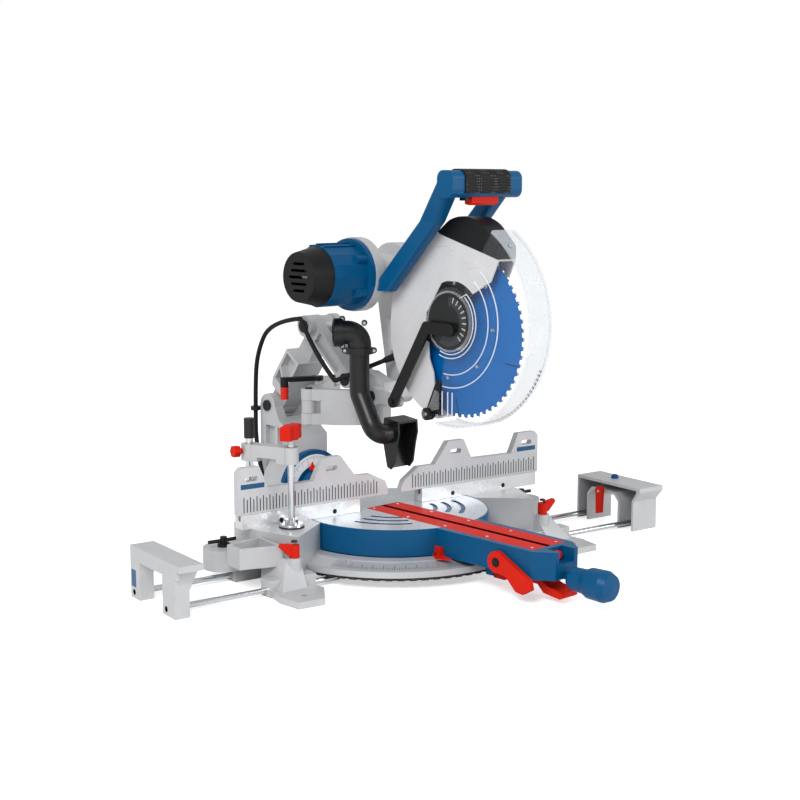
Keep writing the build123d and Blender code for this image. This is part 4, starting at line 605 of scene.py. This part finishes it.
hub_skin.patch(teeth * (hub_radius > 0.034), "A9ADB1", roughness=0.3)
hub_skin.feed("Alpha", 0.15 + hub_disc * 0.85)
wear(hub_skin, "guard_hub_plate")
wear(black, "guard_link")
edge_clear = Finish("guard_edges", CLEAR, 0.08)
edge_clear.shader.inputs["Alpha"].default_value = 0.5
BEAD_FACE = -28.4
BEAD_RADIUS = 0.0011
BEAD_BEGIN = radians(130)
BEAD_ARCS = ((58, 163), (65, 163), (94, 148), (117, 148))
pivot = arm(BEAD_FACE, PIVOT_ALONG * 1000, PIVOT_RISE * 1000) / 1000
axle = arm(1, 0, 0)
first_way = arm(0, cos(BEAD_BEGIN), sin(BEAD_BEGIN))
guard_edges = bmesh.new()
for radius, turn in BEAD_ARCS:
    place = Matrix.Translation(pivot + first_way * radius / 1000) @ Matrix.Rotation(BEAD_BEGIN, 4, axle)
    bead = bmesh.ops.create_circle(guard_edges, segments=8, radius=BEAD_RADIUS, matrix=place)["verts"]
    bead += {edge for vertex in bead for edge in vertex.link_edges}
    bmesh.ops.spin(guard_edges, geom=bead, cent=pivot, axis=axle, angle=radians(turn), steps=72)
piece("guard_edges", guard_edges, "lower_guard", edge_clear)
RIB_FACE, RIB_TOP, RIB_FOOT = -28.3, 333, 290
guard_ribs = bmesh.new()
for along in (-157, -171, -182):
    rod(guard_ribs, arm(RIB_FACE, along, RIB_TOP), arm(RIB_FACE, along, RIB_FOOT), radius=1.2, sides=10)
rod(guard_ribs, arm(BEAD_FACE, -215.8, 507.8), arm(BEAD_FACE, -158, 480), radius=1.1, sides=8)
piece("guard_ribs", guard_ribs, "lower_guard", edge_clear)
RIVET_REACH = (-27.6, -30)
guard_trim = bmesh.new()
for along, height in ((-172, 358.6), (-243, 385), (-278.5, 450), (-261, 523)):
    cross_rod(guard_trim, RIVET_REACH, along, height, radius=3.6, tip=3, sides=16)
piece("guard_trim", guard_trim, "lower_guard", steel)
PLATE_LOW, PLATE_HIGH = (-29, -152, 290), (-24, -114, 352)
PLATE_TOP_BACK = -0.143
ROLLER_ALONG, ROLLER_RISE = -124, 289
ROLLER_REACH, PIN_REACH = (-37, -24.5), (-37.6, -37)
guard_lift = bmesh.new()
plate = slab(guard_lift, PLATE_LOW, PLATE_HIGH)
for vertex in plate:
    if vertex.co.z > (PLATE_LOW[2] + PLATE_HIGH[2]) / 2000:
        vertex.co.y = min(vertex.co.y, PLATE_TOP_BACK)
bmesh.ops.rotate(guard_lift, verts=plate, cent=(0, 0, 0), matrix=Matrix.Rotation(ARM_TURN, 3, "Z"))
cross_rod(guard_lift, ROLLER_REACH, ROLLER_ALONG, ROLLER_RISE, radius=11.5)
cross_rod(guard_lift, PIN_REACH, ROLLER_ALONG, ROLLER_RISE, radius=2.6, tip=3, sides=16, finish=1)
piece("guard_lift", guard_lift, "lower_guard", black, steel)

# Power lead: a round rubber cord from the gland on the head over the glide arm to the tower's clip.
# It is clipped at the arm's pins, and the stretch over the front link moves with that link.
rubber = Finish("lead_rubber", "0E0F10", 0.55, grain=0.25, shine=0.25)
LEAD_WIDE = 9.0
GLAND_RUN = [(25, 22, 376), (-14, 40, 362), (-57, 104, 328)]
LINK_RUN = [(-57, 104, 328), (-61, 158, 372), (-62, 200, 440)]
CLIP_RUN = [(-62, 200, 440), (-58, 300, 428), (-54, 352, 360), (-52, 362, 282), (-52, 362, 206)]


def lead_curve(name, points):
    """A cord along control points given in millimetres, as a mesh and as its centreline."""
    curve = bpy.data.curves.new(name, "CURVE")
    curve.dimensions = "3D"
    curve.bevel_depth = LEAD_WIDE / 2000
    curve.bevel_resolution = 4
    curve.use_fill_caps = True
    spline = curve.splines.new("NURBS")
    spline.points.add(len(points) - 1)
    for control, point in zip(spline.points, points):
        control.co = (*(Vector(point) / 1000), 1)
    spline.order_u = 3
    spline.use_endpoint_u = True
    spline.resolution_u = 6
    holder = bpy.data.objects.new(name + "_curve", curve)
    bpy.context.scene.collection.objects.link(holder)
    depsgraph = bpy.context.evaluated_depsgraph_get()
    skin = bpy.data.meshes.new_from_object(holder.evaluated_get(depsgraph))
    curve.bevel_depth = 0
    depsgraph.update()
    line = bpy.data.meshes.new_from_object(holder.evaluated_get(depsgraph))
    centre = [vertex.co.copy() for vertex in line.vertices]
    bpy.data.objects.remove(holder)
    bpy.data.curves.remove(curve)
    bpy.data.meshes.remove(line)
    made = bpy.data.objects.new(name, skin)
    bpy.context.scene.collection.objects.link(made)
    skin.shade_smooth()
    skin.materials.clear()
    skin.materials.append(rubber.material)
    return made, centre


def arm_run(points):
    """The places of a route that is given in the arm's own frame."""
    return [arm(*point) for point in points]


gland_lead, _ = lead_curve("gland_lead", arm_run(GLAND_RUN))
arm(0, 30, 370) / 1000
arm(-50, 95, 333) / 1000
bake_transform(gland_lead)
link_lead, _ = lead_curve("link_lead", arm_run(LINK_RUN))
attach(link_lead, "front_link")
clip_lead, _ = lead_curve("clip_lead", arm_run(CLIP_RUN))
arm(-62, 215, 440) / 1000
arm(-53, 356, 330) / 1000
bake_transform(clip_lead)
for stretch in (gland_lead, link_lead, clip_lead):
    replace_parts(stretch, "power_lead")
SLEEVE_RINGS = 5
RING_STEP, RING_LONG = 5, 3.6
RING_TAPER = 0.35
relief = bmesh.new()
sleeve_foot, sleeve_next = arm_run(GLAND_RUN[:2])
sleeve_way = (sleeve_next - sleeve_foot).normalized()
for ring in range(SLEEVE_RINGS):
    foot = sleeve_foot + sleeve_way * (ring * RING_STEP)
    taper = ring * RING_TAPER
    rod(relief, foot, foot + sleeve_way * RING_LONG, radius=7.4 - taper, tip=7.2 - taper)
sleeve_end = sleeve_foot + sleeve_way * (SLEEVE_RINGS * RING_STEP)
rod(relief, sleeve_foot, sleeve_end, radius=6.4, tip=5.2)
piece("strain_relief", relief, "head", rubber)

# Free end of the lead: it hangs from the tower's clip to the bench, and the rest lies there in a coil.
# The coil spirals in on the bench, climbs in the middle and spirals out on top, held by a strap.
DROP_RUN = [(-52, 362, 206), (-52, 362, 166), (-54, 337, 104)]
LOW_RUN = [(-54, 337, 104), (-50, 346, 46)]
BENCH_RUN = [(-56, 359, 4.9), (0, 366, 4.9), (51, 366, 4.9)]
COIL_MIDDLE = Vector((60, 430, 4.9))
COIL_OUTER = 64.0
COIL_STEP = 9.6
COIL_TURNS = 6.5
CLIMB_FROM, CLIMB_TURNS = 3, 0.5
POINTS_A_TURN = 16


def coil_place(turn):
    """Centre of the coiled lead after so many turns, counted from its outer start."""
    radius = COIL_OUTER + COIL_STEP * (abs(turn - COIL_TURNS / 2) - COIL_TURNS / 2)
    angle = 2 * pi * turn - pi / 2
    climb = min(max((turn - CLIMB_FROM) / CLIMB_TURNS, 0), 1)
    return COIL_MIDDLE + Vector((radius * cos(angle), radius * sin(angle), COIL_STEP * climb))


coil_steps = int(COIL_TURNS * POINTS_A_TURN)
coil_run = [coil_place(step / POINTS_A_TURN) for step in range(coil_steps + 1)]
plug_place = coil_run[-1] - Vector((LEAD_WIDE, 0, 0))
free_run = arm_run(LOW_RUN) + [Vector(point) for point in BENCH_RUN] + coil_run + [plug_place]
drop_lead, drop_line = lead_curve("drop_lead", arm_run(DROP_RUN))
free_lead, free_line = lead_curve("free_lead_coil", free_run)


wear(black, "plug")
arm(-52, 362, 190) / 1000
arm(-54, 340, 112) / 1000
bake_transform(drop_lead)
arm(-54, 337, 100) / 1000
arm(-51, 352, 20) / 1000
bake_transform(free_lead)
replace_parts(drop_lead, "free_lead")
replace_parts(free_lead, "free_lead", "coil_lead")
STRAP_LOW, STRAP_HIGH = (87.4, 426, 0.1), (127.2, 434, 19.8)
STRAP_THICK = 0.0006
strap = bmesh.new()
slab(strap, STRAP_LOW, STRAP_HIGH)
open_ends = [face for face in strap.faces if abs(face.normal.y) > 0.9]
bmesh.ops.delete(strap, geom=open_ends, context="FACES")
bmesh.ops.solidify(strap, geom=strap.faces[:], thickness=STRAP_THICK)
piece("coil_strap", strap, "base", black)

# Floor: a wide sheet of pale matt paper that takes the saw's soft shadow.
# It glows a little to the camera alone, so that it runs into the white behind it.
FLOOR_HALF = 40.0
PAPER = (0.93, 0.93, 0.93, 1)
floor_mesh = bpy.data.meshes.new("floor")
floor = bpy.data.objects.new("floor", floor_mesh)
bpy.context.scene.collection.objects.link(floor)
paper = bmesh.new()
bmesh.ops.create_grid(paper, x_segments=1, y_segments=1, size=FLOOR_HALF)
paper.to_mesh(floor_mesh)
paper.free()
floor_skin = bpy.data.materials.new("floor")
floor_skin.use_nodes = True
floor_tree = floor_skin.node_tree
floor_shader = floor_tree.nodes["Principled BSDF"]
floor_shader.inputs["Base Color"].default_value = PAPER
floor_shader.inputs["Roughness"].default_value = 0.9
floor_shader.inputs["Specular IOR Level"].default_value = 0.0
floor_shader.inputs["Emission Strength"].default_value = 0.5
floor_path = floor_tree.nodes.new("ShaderNodeLightPath")
floor_tree.links.new(floor_path.outputs["Is Camera Ray"], floor_shader.inputs["Emission Color"])
floor_mesh.materials.append(floor_skin)

# Light: an even white room, which the camera sees as plain white.
# A large lamp stands in front to the left, and a weaker one in front to the right.
WHITE = (1, 1, 1, 1)
LAMP_AIM = Vector((0, 0, 0.3))
world = bpy.data.worlds.new("studio")
world.use_nodes = True
world_tree = world.node_tree
sky = world_tree.nodes["Background"]
sky.inputs["Color"].default_value = WHITE
sky.inputs["Strength"].default_value = 0.6
backdrop = world_tree.nodes.new("ShaderNodeBackground")
backdrop.inputs["Color"].default_value = WHITE
ray = world_tree.nodes.new("ShaderNodeLightPath")
choose = world_tree.nodes.new("ShaderNodeMixShader")
world_tree.links.new(ray.outputs["Is Camera Ray"], choose.inputs[0])
world_tree.links.new(sky.outputs[0], choose.inputs[1])
world_tree.links.new(backdrop.outputs[0], choose.inputs[2])
world_tree.links.new(choose.outputs[0], world_tree.nodes["World Output"].inputs["Surface"])
bpy.context.scene.world = world


def lamp(name, place, size, power):
    """A square lamp that points at the saw's middle."""
    light = bpy.data.lights.new(name, "AREA")
    light.energy = power
    light.size = size
    made = bpy.data.objects.new(name, light)
    made.location = place
    made.rotation_euler = (LAMP_AIM - Vector(place)).to_track_quat("-Z", "Y").to_euler()
    bpy.context.scene.collection.objects.link(made)


lamp("key", (-2.6, -2.0, 2.8), size=1.6, power=110)
lamp("side", (2.2, -2.8, 1.4), size=1.4, power=40)

# Camera: stands in front to the left of the saw, nearly as high as the top of its handle.
# It looks at a point above the middle of the turntable.
view = bpy.data.cameras.new("camera")
view.sensor_width = 36
view.lens = 63.74
camera = bpy.data.objects.new("camera", view)
camera.location = (-1.50883, -2.14056, 0.69166)
aim = Vector((0.0087, -0.00618, 0.29699))
camera.rotation_euler = (aim - camera.location).to_track_quat("-Z", "Y").to_euler()
bpy.context.scene.collection.objects.link(camera)
bpy.context.scene.camera = camera
bpy.context.scene.view_settings.view_transform = "Standard"
